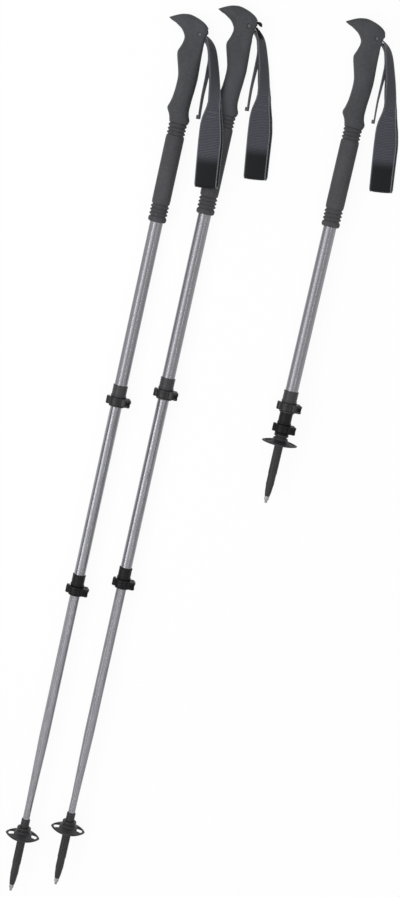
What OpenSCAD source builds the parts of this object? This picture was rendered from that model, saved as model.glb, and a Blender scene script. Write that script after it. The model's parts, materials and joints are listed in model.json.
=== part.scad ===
// Three telescopic trekking poles lying on a flat surface: two extended and one
// pushed together. Each has a beaked grip with a foam extension and a padded wrist
// strap, three nested tubes, two lever clamps, a basket and a tipped ferrule.
// The poles lie along Y with their grips towards +Y, on basket rim and grip side.

/* [Set of poles] */
// Distance between the two extended poles
pole_gap = 62.5; // [58:0.5:120]
// How far the second pole lies ahead of the first
pole_2_ahead = 25; // [0:1:100]
// Distance from the first pole to the third, measured across
pole_3_across = 234; // [215:1:320]
// How far the third pole's tip lies ahead of the first one's
pole_3_ahead = 649; // [500:1:800]
// Travel of the middle section out of its collapsed place on the extended poles
middle_out = 247; // [120:1:290]
// Travel of the lower section out of its collapsed place on the extended poles
lower_out = 356; // [150:1:400]

/* [Tubes] */
// Outer diameter of the upper tube
upper_od = 18; // [17:0.5:20]
// Wall of every tube
tube_wall = 0.75; // [0.6:0.05:0.9]
// Gap all round between one tube and the next
slide_gap = 0.25; // [0.2:0.05:0.4]
// Length of the upper tube
upper_length = 504; // [460:1:530]
// Length of the middle tube
middle_length = 500; // [440:1:505]
// Length of the lower tube above the basket
lower_length = 470; // [400:1:474]
// Diameter that the lower tube is drawn down to
neck_od = 10; // [9:0.5:10.5]
// Length of the drawn taper
taper_length = 100; // [60:1:140]

/* [Clamps] */
// Height of a whole clamp
clamp_height = 30.5; // [28:0.5:38]
// Height of the split collar at its lower end
collar_height = 14.5; // [13.5:0.5:18]
// Wall of the collar
collar_wall = 1.6; // [1.3:0.1:2]
// Wall of the sleeve above the collar
sleeve_wall = 1.2; // [0.9:0.1:1.6]
// Thickness of the lever's band
lever_wall = 2.5; // [2:0.1:3]
// Height of the lever
lever_height = 11; // [9:0.5:11.5]
// Diameter of the pivot pin and of the eye screw
pin_d = 4; // [3:0.25:4.25]

/* [Grip] */
// Height of the moulded grip
grip_height = 145; // [140:1:175]
// Thickness of the grip from side to side
grip_thick = 28; // [26:0.5:30]
// Length of the foam extension
foam_length = 137.5; // [110:0.5:170]
// Diameter of the foam extension
foam_d = 25.4; // [23:0.2:28]
// Diameter of the strap pin
strap_pin_d = 4; // [3:0.25:4.5]

/* [Strap] */
// Width of the webbing
webbing_w = 17; // [14:0.5:18]
// Thickness of the webbing
webbing_t = 1.6; // [1.2:0.1:1.8]
// Width of the padded part
pad_w = 30; // [22:0.5:34]
// Thickness of the padded part
pad_t = 3; // [2:0.1:4]
// Half the gap that the padded loop stands open
loop_open = 4.5; // [4:0.1:6]

/* [Foot] */
// Diameter of the basket
basket_d = 50; // [44:1:60]
// Thickness of the basket's rim
rim_t = 2.6; // [2:0.1:4]
// Diameter of the ferrule's body
ferrule_d = 12.6; // [12.2:0.1:13]
// Diameter of the land that a push-on foot grips
land_d = 11.4; // [10:0.2:12]
// Length of that land
land_length = 14; // [10:1:18]

/* [Hidden] */
PIECES = ["grip", "grip_extension", "strap_pin", "strap_wedge", "wrist_strap", "strap_pad",
          "upper_shaft", "upper_clamp", "upper_lever", "upper_lever_fastener",
          "middle_shaft", "middle_guide", "lower_clamp", "lower_lever", "lower_lever_fastener",
          "lower_shaft", "lower_guide", "ferrule", "basket", "carbide_tip"];
POLES = [1, 2, 3];
$fn = 64;

// Clearances
glue_gap = 0.05;      // bonded pieces, all round
pivot_gap = 0.08;     // turning and sliding fits, all round
part_gap = 0.3;       // pieces that pass each other
seat_gap = 0.5;       // between one section's end and the next when collapsed

// Tubes, each nested in the one above
middle_od = upper_od - 2 * (tube_wall + slide_gap);
lower_od = middle_od - 2 * (tube_wall + slide_gap);
guide_head = 6;
guide_stem = 15;

// A pole's own frame: Z runs up its axis from the lower end of the upper clamp,
// the beak points to -X, the strap leaves to +X and -Y is the side that faces up.
lip = 1;                                        // floor of a clamp, under its tube's end
pitch = clamp_height + seat_gap;                // from clamp to clamp when collapsed
function mid_z(n) = -pitch - (n == 3 ? 0 : middle_out);
function low_z(n) = mid_z(n) - seat_gap - (n == 3 ? 0 : lower_out);

// Foot, measured down from the top of the basket's collar
foot_length = 100;                              // down to the tip
neck_top = 13;                                  // the ferrule's neck rises this far
rim_z = -13;                                    // middle of the basket's rim
tip_shown = 10;                                 // steel tip below the ferrule

// Grip
foam_z = 263;                                   // lower end of the foam extension
grip_z = foam_z + foam_length;                  // lower end of the grip
strap_pin_x = 3.5;
strap_pin_z = grip_z + grip_height - 23.7;
thick_z = grip_z + 94;                          // where the grip is thickest

// The lay: pole n touches the ground at its basket's rim and its grip's side
basket_r = basket_d / 2;
function span(n) = thick_z - (low_z(n) + rim_z);
function slope(n) = atan((basket_r - grip_thick / 2) / span(n));
function axis_height(n) = grip_thick / 2 * cos(slope(n)) + thick_z * sin(slope(n));
function across(n) = n == 1 ? 0 : n == 2 ? pole_gap : pole_3_across;
function ahead(n) = n == 1 ? 0 : n == 2 ? pole_2_ahead : pole_3_ahead;

// The set is centred on its box
beak_reach = 42.5;
strap_reach = strap_pin_x + 51 + pad_w / 2 + 3;
set_left = -beak_reach;
set_right = pole_3_across + strap_reach;
set_back = 0;
set_front = max([for (n = POLES) ahead(n) + foot_length + grip_z + grip_height - low_z(n)]);

// Puts pole n where it lies
module lay(n) {
    tip = foot_length - low_z(n);
    translate([across(n) - (set_left + set_right) / 2,
               ahead(n) + tip * cos(slope(n)) - (set_back + set_front) / 2,
               axis_height(n)])
        rotate([-90 - slope(n), 0, 0]) children();
}

// ---------------------------------------------------------------- helpers

module tube(od, length, wall = tube_wall) {
    difference() {
        cylinder(d = od, h = length);
        translate([0, 0, -1]) cylinder(d = od - 2 * wall, h = length + 2);
    }
}

// A solid skinned over rings of points, all with as many points
module skin(rings) {
    n = len(rings[0]);
    last = len(rings) - 1;
    polyhedron(
        points = [for (r = rings) each r],
        faces = concat(
            [[for (i = [n - 1:-1:0]) i]],
            [for (k = [0:last - 1]) for (i = [0:n - 1]) let (j = (i + 1) % n)
                each [[k * n + i, k * n + j, (k + 1) * n + j], [k * n + i, (k + 1) * n + j, (k + 1) * n + i]]],
            [[for (i = [0:n - 1]) last * n + i]]));
}

// ---------------------------------------------------------------- grip

// Reach of the grip to the front and to the rear, by height above its lower end
GRIP_FRONT = [[0, 12.6], [4, 13.3], [9, 14.8], [14, 17.6], [17.3, 20], [21, 18.6], [25.3, 17], [34.5, 15],
              [45, 14], [56, 13.6], [64, 14.2], [72, 16.3], [81, 19], [88, 21.1], [93.8, 22.1], [97, 20.8],
              [101, 18.9], [107.7, 16.9], [111.7, 16.2], [115.7, 16.9], [120.4, 19.6], [124.3, 23],
              [127, 27], [130.3, 32.4], [132.3, 37.8], [135, 42.5], [139, 36.4], [143, 27], [145, 19.5]];
GRIP_REAR = [[0, 12.8], [4.7, 15], [7, 14.2], [12, 12], [18.5, 10.9], [32, 11.3], [45, 12.4], [61, 13.3],
             [72, 12.9], [85, 12.2], [98, 11.5], [110.4, 11.5], [118.4, 12.2], [123, 12.4], [126.4, 15.3],
             [131, 13.5], [135.7, 9.5], [139.7, 2.7], [142.3, -4], [144.3, -10.8], [145, -15.5]];
GRIP_SIDE = [[0, 0.9], [17, 1], [45, 0.95], [62, 0.94], [94, 1], [112, 0.96], [128, 0.98], [136, 0.9],
             [141, 0.7], [144, 0.4], [145, 0.2]];
GRIP_LEVELS = [0, 4.7, 9, 14, 17.3, 21, 32, 45, 60, 72, 82, 93.8, 98, 105, 111.7, 117, 120.4, 124.3, 126.4,
               129, 132.3, 135, 137.5, 140, 142.3, 144, 145];
GRIP_POINTS = 20;
squareness = 2.4;

// Rounded-square outline value: a cosine or sine with fuller shoulders
function full(v) = sign(v) * pow(abs(v), 2 / squareness);
// The beak grows thinner towards its point
function beak_thin(x) = x > -14 ? 1 : 1 - 0.62 * (-14 - x) / (beak_reach - 14);

function grip_ring(h) =
    let (k = grip_height / 145,
         front = lookup(h, GRIP_FRONT), rear = lookup(h, GRIP_REAR),
         side = lookup(h, GRIP_SIDE) * grip_thick / 2,
         mid = (rear - front) / 2, half = (rear + front) / 2)
    [for (i = [0:GRIP_POINTS - 1]) let (a = 360 * i / GRIP_POINTS, x = mid + half * full(cos(a)))
        [x, side * full(sin(a)) * beak_thin(x), grip_z + h * k]];

slot_w = webbing_w + 2;
wedge_w = slot_w + 2;
wedge_low = strap_pin_d / 2 + 3.5;              // underside of the wedge above the strap pin
wedge_out = 8;                                  // travel of the wedge
WEDGE = [[-2.5, wedge_low], [8.8, wedge_low], [8, wedge_low + 4], [-2.5, wedge_low + 2.5]];

// Space that the webbing turns and leaves in, seen along the strap pin
SLOT = [[-5.2, -4.5], [-5.2, wedge_low - part_gap], [30, wedge_low - part_gap], [30, -19], [8.5, -19],
        [6, -12], [0, -6.5]];

module across_head(width) {
    translate([strap_pin_x, width / 2, strap_pin_z]) rotate([90, 0, 0])
        linear_extrude(width) children();
}

module grip() {
    color("dimgray") difference() {
        skin([for (h = GRIP_LEVELS) grip_ring(h)]);
        translate([0, 0, grip_z - 1])
            cylinder(d = upper_od + 2 * glue_gap, h = lip + upper_length + 2 - grip_z);
        across_head(slot_w) polygon(SLOT);
        across_head(wedge_w + 2 * part_gap)
            polygon([[-2.5 - part_gap, wedge_low - part_gap], [30, wedge_low - part_gap],
                     [30, wedge_low + 4 + part_gap], [8, wedge_low + 4 + part_gap],
                     [-2.5 - part_gap, wedge_low + 2.5 + part_gap]]);
        across_head(2 * grip_thick) circle(d = strap_pin_d + 2 * glue_gap);
    }
}

module strap_pin() {
    color("silver") across_head(grip_thick - 3) circle(d = strap_pin_d);
}

module strap_wedge(out) {
    color("#1c1c1e") translate([out, 0, 0]) across_head(wedge_w) polygon(WEDGE);
}

// Foam sleeve: rings at both ends and a rounded bead at the bottom
module grip_extension() {
    r = foam_d / 2;
    groove = r - 2.2;
    ring_pitch = 5;
    bead = 8;
    top_rings = [for (i = [0:2]) each
        [[groove, foam_length - 16.5 + i * ring_pitch], [r, foam_length - 14.5 + i * ring_pitch],
         [r, foam_length - 13.3 + i * ring_pitch]]];
    low_rings = [for (i = [0:2]) each
        [[groove, bead + 0.8 + i * ring_pitch], [r, bead + 2.4 + i * ring_pitch],
         [r, bead + 3.6 + i * ring_pitch]]];
    color("#3b3c3e") translate([0, 0, foam_z]) rotate_extrude() polygon(concat(
        [[upper_od / 2 + glue_gap, 0], [r - 2.5, 0], [r - 0.8, 1], [r, 3], [r, 5.2], [r - 0.9, 7.4],
         [groove, bead]],
        low_rings,
        [[groove, bead + 16.2], [r - 0.3, bead + 18], [r, bead + 24], [r, foam_length - 22],
         [r - 0.3, foam_length - 18]],
        top_rings,
        [[groove + 0.6, foam_length], [upper_od / 2 + glue_gap, foam_length]]));
}

// ---------------------------------------------------------------- wrist strap

// The strap's middle line from the strap pin down to its fold: sideways and down
// from the pin, share of the full shift towards its resting height, turn of the
// webbing, half gap between its two runs
STRAP_RUN = [[7.5, -1.2, 0, 3, 3], [12.3, -4.2, 0, 10, 2.4], [16.6, -9, 0.02, 16, 2], [20.5, -17, 0.08, 22, 2],
             [24, -28, 0.2, 27, 2], [30.2, -49, 0.45, 35, 2.4], [34.1, -66, 0.7, 50, 3],
             [37.6, -80, 0.88, 70, 3.8], [39, -88, 0.95, 80, 4.2], [40, -109, 1, 90, loop_open],
             [44.4, -135, 1, 90, loop_open], [48, -165, 1, 90, loop_open], [51, -189, 1, 90, loop_open]];
PAD_START = 8;
PAD_WIDTHS = [[88, webbing_w], [109, pad_w - 3], [135, pad_w], [195, pad_w - 1]];
back_slip = 3;                                  // the back run lies this far to the side
// Free end of the webbing after it leaves the runs: sideways, down, shift, turn
TAIL_RUN = [[21.2, -45, 0.3, 20], [21, -62, 0.5, 12], [20.8, -78, 0.6, 6], [21.6, -94, 0.65, 3],
            [22.8, -111, 0.7, 0]];
tail_off = webbing_t + 0.4;

// Resting height of the padded loop: on the ground, or over the next pole's grip
function lie(n) = n == 1 ? -(grip_thick / 2 + loop_open + pad_t / 2 + 2) : grip_thick / 2 - loop_open - pad_t / 2;
// Share of that shift; the first pole's strap rises early, to clear the next grip
function shift(share, n) = lie(n) * (n == 1 ? min(1, 1.6 * share) : share);

function unit(v) = v / norm(v);
function run_point(s, n) = [strap_pin_x + s[0], shift(s[2], n), strap_pin_z + s[1]];
function run_along(run, k, n) =
    unit(run_point(run[min(k + 1, len(run) - 1)], n)
         - (k == 0 ? [strap_pin_x + run[0][0] - 5, 0, strap_pin_z + run[0][1] + 0.8] : run_point(run[k - 1], n)));

// Face normal and width direction of webbing that runs along t, turned by a
function face_dir(t, a) = let (e = unit(cross(t, [0, 1, 0])), w = cross(e, t)) e * cos(a) - w * sin(a);
function width_dir(t, a) = let (e = unit(cross(t, [0, 1, 0])), w = cross(e, t)) w * cos(a) + e * sin(a);
function band_ring(p, w, f, width, thick) =
    [p + w * width / 2 + f * thick / 2, p + w * width / 2 - f * thick / 2,
     p - w * width / 2 - f * thick / 2, p - w * width / 2 + f * thick / 2];

// One ring of the loop: side 1 is its front run and side -1 its back run
function loop_ring(k, side, n, width, thick) =
    let (s = STRAP_RUN[k], t = run_along(STRAP_RUN, k, n), f = face_dir(t, s[3]), w = width_dir(t, s[3]),
         slip = side < 0 ? [back_slip * s[2], 0, 0] : [0, 0, 0])
    band_ring(run_point(s, n) + f * side * s[4] + slip, w, f * side, width, thick);

module wrist_strap(n) {
    turn_r = strap_pin_d / 2 + webbing_t / 2 + part_gap;
    round_pin = [for (a = [270:-30:90])
        band_ring([strap_pin_x, 0, strap_pin_z] + turn_r * [cos(a), 0, sin(a)], [0, 1, 0],
                  [cos(a), 0, sin(a)], webbing_w, webbing_t)];
    tail_start = [for (k = [0:4]) let (s = STRAP_RUN[k], t = run_along(STRAP_RUN, k, n), f = face_dir(t, s[3]))
        band_ring(run_point(s, n) - f * (s[4] + tail_off), width_dir(t, s[3]), f, webbing_w, webbing_t)];
    tail_end = [for (k = [0:len(TAIL_RUN) - 1]) let (s = TAIL_RUN[k], t = k == 0 ? [0, 0, -1] : run_along(TAIL_RUN, k, n))
        band_ring([strap_pin_x + s[0], s[2] * (n == 1 ? lie(2) : lie(n)), strap_pin_z + s[1]],
                  width_dir(t, s[3]), face_dir(t, s[3]), webbing_w, webbing_t)];
    color("#2a2b30") {
        skin(concat([for (k = [PAD_START:-1:0]) loop_ring(k, -1, n, webbing_w, webbing_t)], round_pin,
                    [for (k = [0:PAD_START]) loop_ring(k, 1, n, webbing_w, webbing_t)]));
        skin(concat(tail_start, tail_end));
    }
}

module strap_pad(n) {
    last = len(STRAP_RUN) - 1;
    t = run_along(STRAP_RUN, last, n);
    fold = run_point(STRAP_RUN[last], n);
    f = face_dir(t, 90);
    w = width_dir(t, 90);
    function pad_ring(k, side) = loop_ring(k, side, n, lookup(-STRAP_RUN[k][1], PAD_WIDTHS), pad_t);
    color("#34353c") skin(concat(
        [for (k = [PAD_START:last]) pad_ring(k, 1)],
        [for (a = [30:30:150]) let (d = f * cos(a) + t * sin(a))
            band_ring(fold + d * loop_open + [back_slip * (1 - cos(a)) / 2, 0, 0], w, d, pad_w - 1, pad_t)],
        [for (k = [last:-1:PAD_START]) pad_ring(k, -1)]));
}

// ---------------------------------------------------------------- lever clamps

pin_reach = 4.7 + collar_wall;                  // pivot pin outside the tube, sideways
ear_t = 4.5;
ear_gap = 2;
cam_r = pin_d / 2 + 1.7;
pin_y = -(ear_gap / 2 + ear_t + cam_r + part_gap);
lever_low = 2.5;                                // lever above the clamp's lower end
eye_r = pin_d / 2 + 1.4;
eye_h = 4.4;

// Sleeve on the end of the tube of diameter od; the tube inside has diameter inner
module clamp(od, inner) {
    r = od / 2;
    ear_x = r + pin_reach + pin_d / 2 + 1;
    mid = lever_low + lever_height / 2;
    color("#1f2022") difference() {
        union() {
            cylinder(r = r + collar_wall, h = collar_height);
            cylinder(r = r + collar_wall + 0.5, h = 1.6);
            cylinder(r = r + sleeve_wall, h = clamp_height);
            translate([0, -ear_gap / 2 - ear_t, 1.6])
                cube([ear_x, ear_gap + 2 * ear_t, collar_height - 2.2]);
        }
        translate([0, 0, lip]) cylinder(r = r + glue_gap, h = clamp_height);
        translate([0, 0, -1]) cylinder(d = inner + 2 * part_gap, h = lip + 2);
        translate([0, -ear_gap / 2, -1]) cube([ear_x + 1, ear_gap, collar_height + 0.4]);
        translate([r + pin_reach, ear_t + ear_gap, mid]) rotate([90, 0, 0])
            cylinder(r = pin_d / 2 + part_gap, h = 2 * (ear_t + ear_gap));
    }
}

// Band lever, pivoted beside the ears and wrapped round the upward side of the collar
module lever(od) {
    r = od / 2;
    px = r + pin_reach;
    inner = r + collar_wall + 0.5;
    outer = inner + lever_wall;
    mid = lever_low + lever_height / 2;
    slot_r = eye_r + part_gap;
    far = 2 * outer;
    color("#17181a") difference() {
        translate([0, 0, lever_low]) linear_extrude(lever_height) {
            difference() {
                circle(r = outer);
                circle(r = inner);
                polygon([[0, 0], [far * cos(40), -far * sin(40)], [far, 0], [far, far], [-far, far], [-far, 0]]);
            }
            difference() {
                polygon([[inner * cos(60), -outer * sin(60)], [px, pin_y - cam_r], [px, pin_y + cam_r],
                         [inner * cos(35), pin_y + cam_r], [inner * cos(50), -inner * sin(50)]]);
                circle(r = inner);
            }
            translate([px, pin_y]) circle(r = cam_r);
            polygon([[-outer - 2.2, -5.5], [-outer + 1, -6.5], [-inner - 0.1, -2], [-inner - 0.1, 2.4],
                     [-outer - 2.2, 2.4]]);
        }
        translate([px, pin_y, 0]) cylinder(r = pin_d / 2 + pivot_gap, h = clamp_height);
        translate([px, pin_y, mid - eye_h / 2 - part_gap]) cylinder(r = slot_r, h = eye_h + 2 * part_gap);
        translate([px - pin_d / 2 - part_gap, -far, mid - eye_h / 2 - part_gap])
            cube([far, 2 * far, eye_h + 2 * part_gap]);
        translate([-5.5, -outer - 1, mid + 0.4]) cube([7, 1.9, 2]);
        translate([-outer - 3, -8, lever_low - 1]) cube([5.5 - 1.2, 12, 2.6]);
    }
}

// Pivot pin, eye screw and nut
module lever_fastener(od) {
    px = od / 2 + pin_reach;
    mid = lever_low + lever_height / 2;
    nut_y = ear_gap / 2 + ear_t;
    color("silver") {
        translate([px, pin_y, lever_low + 0.3]) cylinder(d = pin_d, h = lever_height - 0.6);
        difference() {
            union() {
                translate([px, pin_y, mid - eye_h / 2]) cylinder(r = eye_r, h = eye_h);
                translate([px, pin_y, mid]) rotate([-90, 0, 0]) cylinder(d = pin_d, h = nut_y - pin_y + 4);
            }
            translate([px, pin_y, 0]) cylinder(r = pin_d / 2 + pivot_gap, h = clamp_height);
        }
        translate([px, nut_y + 0.05, mid]) rotate([-90, 0, 0]) difference() {
            cylinder(d = 2 * pin_d - 0.6, h = 3.2);
            translate([0, 0, -1]) cylinder(r = pin_d / 2 + glue_gap, h = 6);
        }
    }
}

// ---------------------------------------------------------------- tubes and guides

module upper_shaft() {
    color("#b9bcc2") translate([0, 0, lip]) tube(upper_od, upper_length);
}

module middle_shaft() {
    color("#b9bcc2") translate([0, 0, lip]) tube(middle_od, middle_length);
}

// Plug in the top end of a tube, with a head that runs in the tube around it
module guide(od, top) {
    translate([0, 0, top - guide_stem])
        cylinder(r = od / 2 - tube_wall - glue_gap, h = guide_stem);
    translate([0, 0, top]) cylinder(r = od / 2 + slide_gap - pivot_gap, h = guide_head);
}

module middle_guide() {
    color("#f0c030") guide(middle_od, lip + middle_length);
}

module lower_guide() {
    color("#f0c030") guide(lower_od, lower_length);
}

// Lower tube: full size at the top, drawn down over the taper to the neck
module lower_shaft() {
    neck_end = neck_top + 24;
    inside = 22;
    color("#b9bcc2") rotate_extrude() polygon([
        [neck_od / 2 - tube_wall, -inside], [neck_od / 2, -inside], [neck_od / 2, neck_end],
        [lower_od / 2, neck_end + taper_length], [lower_od / 2, lower_length],
        [lower_od / 2 - tube_wall, lower_length], [lower_od / 2 - tube_wall, neck_end + taper_length],
        [neck_od / 2 - tube_wall, neck_end]]);
}

// ---------------------------------------------------------------- foot

ferrule_end = tip_shown - foot_length;          // lower end of the ferrule
land_end = ferrule_end + 17;                    // lower end of the land
tip_shank = 9;

module ferrule() {
    r = ferrule_d / 2;
    flute_r = 3.2;
    color("#26272a") difference() {
        rotate_extrude() polygon([
            [0, ferrule_end], [3.6, ferrule_end], [4.7, ferrule_end + 7], [land_d / 2 - 0.4, land_end - 2],
            [land_d / 2, land_end - 0.5], [land_d / 2, land_end + land_length],
            [r - 0.1, land_end + land_length + 3], [r, neck_top - 1], [r - 0.6, neck_top], [0, neck_top]]);
        translate([0, 0, -22 - part_gap]) cylinder(r = neck_od / 2 + glue_gap, h = 60);
        translate([0, 0, ferrule_end - 1]) cylinder(d = 4 + 2 * glue_gap, h = tip_shank + 1 + part_gap);
        for (a = [22.5:45:337.5]) rotate([0, 0, a])
            translate([r + flute_r - 0.55, 0, land_end + land_length + 4])
                cylinder(r = flute_r, h = rim_z - 8 - (land_end + land_length + 4));
    }
}

// Screw-on basket: hub with rings, shallow cone, rim and two large side windows
module basket() {
    hub = ferrule_d / 2 + 3.9;
    window_in = 12.2;
    window_out = basket_r - 4.6;
    window_half = 9.5;
    color("#222325") difference() {
        rotate_extrude() polygon([
            [ferrule_d / 2 + glue_gap, 0], [hub - 0.6, 0], [hub, -0.8], [hub, -2.8], [hub - 1.8, -3.4],
            [hub - 1.8, -5], [hub + 0.2, -5.6], [hub + 0.2, -7.4], [hub + 1.6, -8.6],
            [basket_r - 3, rim_z + rim_t / 2 + 0.5], [basket_r - 0.6, rim_z + rim_t / 2],
            [basket_r, rim_z + rim_t / 2 - 0.7], [basket_r, rim_z - rim_t / 2 + 0.6],
            [basket_r - 0.8, rim_z - rim_t / 2], [basket_r - 3.4, rim_z - rim_t / 2],
            [hub - 1.4, rim_z + 0.4], [hub - 2.4, rim_z - 2.4], [ferrule_d / 2 + glue_gap, rim_z - 2.4]]);
        for (side = [0, 180]) rotate([0, 0, side]) translate([0, 0, rim_z - 10]) linear_extrude(25) {
            intersection() {
                difference() {
                    circle(r = window_out);
                    circle(r = window_in);
                }
                translate([0, -window_half]) square([basket_r, 2 * window_half]);
            }
        }
    }
}

module carbide_tip() {
    color("#d8d8da") translate([0, 0, -foot_length]) rotate_extrude() polygon([
        [0, 0.9], [0.7, 0], [1.5, 0], [1.9, 0.6], [2.1, 3.4], [3.3, 5.2], [3.3, tip_shown - 0.05],
        [2, tip_shown - 0.05], [2, tip_shown + tip_shank], [0, tip_shown + tip_shank]]);
}

// ---------------------------------------------------------------- assembly

module piece(name, n) {
    if (name == "grip") grip();
    if (name == "grip_extension") grip_extension();
    if (name == "strap_pin") strap_pin();
    if (name == "strap_wedge") strap_wedge(n == 2 ? wedge_out : 0);
    if (name == "wrist_strap") wrist_strap(n);
    if (name == "strap_pad") strap_pad(n);
    if (name == "upper_shaft") upper_shaft();
    if (name == "upper_clamp") clamp(upper_od, middle_od);
    if (name == "upper_lever") lever(upper_od);
    if (name == "upper_lever_fastener") lever_fastener(upper_od);
    translate([0, 0, mid_z(n)]) {
        if (name == "middle_shaft") middle_shaft();
        if (name == "middle_guide") middle_guide();
        if (name == "lower_clamp") clamp(middle_od, lower_od);
        if (name == "lower_lever") lever(middle_od);
        if (name == "lower_lever_fastener") lever_fastener(middle_od);
    }
    translate([0, 0, low_z(n)]) {
        if (name == "lower_shaft") lower_shaft();
        if (name == "lower_guide") lower_guide();
        if (name == "ferrule") ferrule();
        if (name == "basket") basket();
        if (name == "carbide_tip") carbide_tip();
    }
}

for (n = POLES) for (name = PIECES)
    lay(n) piece(name, n);
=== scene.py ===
"""Three trekking poles: the visible surfaces, cloth and finishes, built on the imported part.

Lengths inside the shape functions are millimetres in a pole's own frame: Z runs up
its axis from the lower end of the upper clamp, the beak points to -X, the wrist strap
leaves to +X and -Y is the side that faces up. Pole.place() turns them into metres in
the object's frame.
"""

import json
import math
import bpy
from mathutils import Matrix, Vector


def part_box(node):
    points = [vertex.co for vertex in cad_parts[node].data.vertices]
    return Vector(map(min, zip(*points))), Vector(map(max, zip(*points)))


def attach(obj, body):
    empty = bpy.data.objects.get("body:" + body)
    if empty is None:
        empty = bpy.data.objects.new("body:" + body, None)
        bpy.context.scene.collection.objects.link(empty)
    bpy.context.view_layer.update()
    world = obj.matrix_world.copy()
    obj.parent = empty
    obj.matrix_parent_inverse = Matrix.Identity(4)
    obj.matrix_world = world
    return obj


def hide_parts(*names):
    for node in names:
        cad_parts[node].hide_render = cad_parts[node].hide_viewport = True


bl_info = {
    "name": "Trekking Poles",
    "version": (1, 0, 0),
    "blender": (4, 5, 0),
    "location": "3D View > Sidebar > Poles",
    "description": "Builds the visible pieces of three trekking poles around their solids",
    "category": "Add Mesh",
}

import bpy
import numpy as np
from mathutils import Matrix

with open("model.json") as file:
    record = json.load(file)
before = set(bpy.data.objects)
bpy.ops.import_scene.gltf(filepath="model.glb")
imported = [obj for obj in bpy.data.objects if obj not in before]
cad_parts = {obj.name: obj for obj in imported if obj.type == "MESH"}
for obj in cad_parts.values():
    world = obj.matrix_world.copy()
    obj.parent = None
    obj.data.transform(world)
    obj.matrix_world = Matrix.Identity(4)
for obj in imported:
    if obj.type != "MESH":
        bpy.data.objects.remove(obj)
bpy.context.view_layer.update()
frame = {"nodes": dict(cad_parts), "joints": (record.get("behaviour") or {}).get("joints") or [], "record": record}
MM = 0.001

# Millimetres in a pole's own frame, as in the solids.
TUBE_WALL = 0.75
UPPER_BORE = 9.05  # radius of the bore that the upper tube is bonded in
GLUE_GAP = 0.05  # between bonded pieces
PART_GAP = 0.3  # between pieces that pass each other
PIVOT_OUT = 15.3  # the upper lever's pin from the pole's axis, across
PIVOT_UP = 9.5  # a lever's pin from the pole's axis, upwards
PIVOT_REACH = 6.3  # a lever's pin from its tube's wall, across
LEVER_LOW, LEVER_MIDDLE, LEVER_HIGH = 2.5, 8.0, 13.5  # above the clamp's lower end
EYE_RADIUS = 3.7  # the lever's round end about its pin
WINDOW_HALF = 2.5  # half the height of the lever's window
FOOT_MOUNT = 66.25  # the rubber foot's mount below the top of the basket's collar
FOOT_LENGTH = 100.0  # the tip's point below the top of the basket's collar


# ------------------------------------------------------------------ the poles' frames


class Pole:
    """Where one pole lies, read from its joints and its rubber foot's mount."""

    def __init__(self, number):
        joints = {j["name"]: j for j in frame["joints"]}
        mounts = {m["name"]: m for m in frame["record"]["mounts"]}
        self.number = number
        self.name = f"pole_{number}"
        upper = joints[f"{self.name}_upper_lever_hinge"]
        lower = joints[f"{self.name}_lower_lever_hinge"]
        foot = mounts[f"rubber_foot_{number}"]
        self.z = np.array(upper["axis"]) / np.linalg.norm(upper["axis"])
        self.x = np.array((1.0, 0.0, 0.0))
        self.y = np.cross(self.z, self.x)
        self.origin = np.array(upper["pos_m"]) - MM * (
            PIVOT_OUT * self.x - PIVOT_UP * self.y + LEVER_MIDDLE * self.z
        )
        self.middle = self.height(lower["pos_m"]) - LEVER_MIDDLE
        self.lower = self.height(foot["pos_m"]) + FOOT_MOUNT

    def height(self, point):
        """How far up the pole's axis a point of the object's frame lies."""
        return float(np.dot(np.array(point) - self.origin, self.z)) / MM

    def place(self, points, rise=0.0):
        """Points of the pole's own frame, raised along its axis, in the object's frame."""
        p = np.asarray(points, float)
        return self.origin + MM * (
            p[..., 0:1] * self.x + p[..., 1:2] * self.y + (p[..., 2:3] + rise) * self.z
        )

    def body(self, part):
        return f"{self.name}_{part}"


POLES = [Pole(n) for n in (1, 2, 3)]


# ------------------------------------------------------------------ surfaces


def smoothed(values, width):
    """Running mean of a column of numbers, repeated twice, with the ends held in place."""
    if width < 2:
        return values
    kernel = np.ones(width) / width
    out = values
    for _ in range(2):
        before, after = 2 * out[:1] - out[width:0:-1], 2 * out[-1:] - out[-2 : -width - 2 : -1]
        padded = np.concatenate([before, out, after])
        spread = np.apply_along_axis(lambda c: np.convolve(c, kernel, "same"), 0, padded)
        out = spread[width:-width]
    return out


def eased(outline, radius, steps=5):
    """Rounds a closed outline: each corner becomes a quadratic curve between two points
    set back from it by the radius, or by 0.45 of the shorter side next to it."""
    p = np.array(outline, float)
    back, on = np.roll(p, 1, 0) - p, np.roll(p, -1, 0) - p
    back_length = np.linalg.norm(back, axis=1, keepdims=True)
    on_length = np.linalg.norm(on, axis=1, keepdims=True)
    most = 0.45 * np.minimum(back_length, on_length)
    setback = np.minimum(np.asarray(radius, float).reshape(-1, 1), most)
    a, b = p + back / back_length * setback, p + on / on_length * setback
    t = np.linspace(0, 1, steps)[:, None, None]
    curves = a * (1 - t) ** 2 + 2 * p * t * (1 - t) + b * t**2
    return curves.transpose(1, 0, 2).reshape(-1, p.shape[1])


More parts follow.
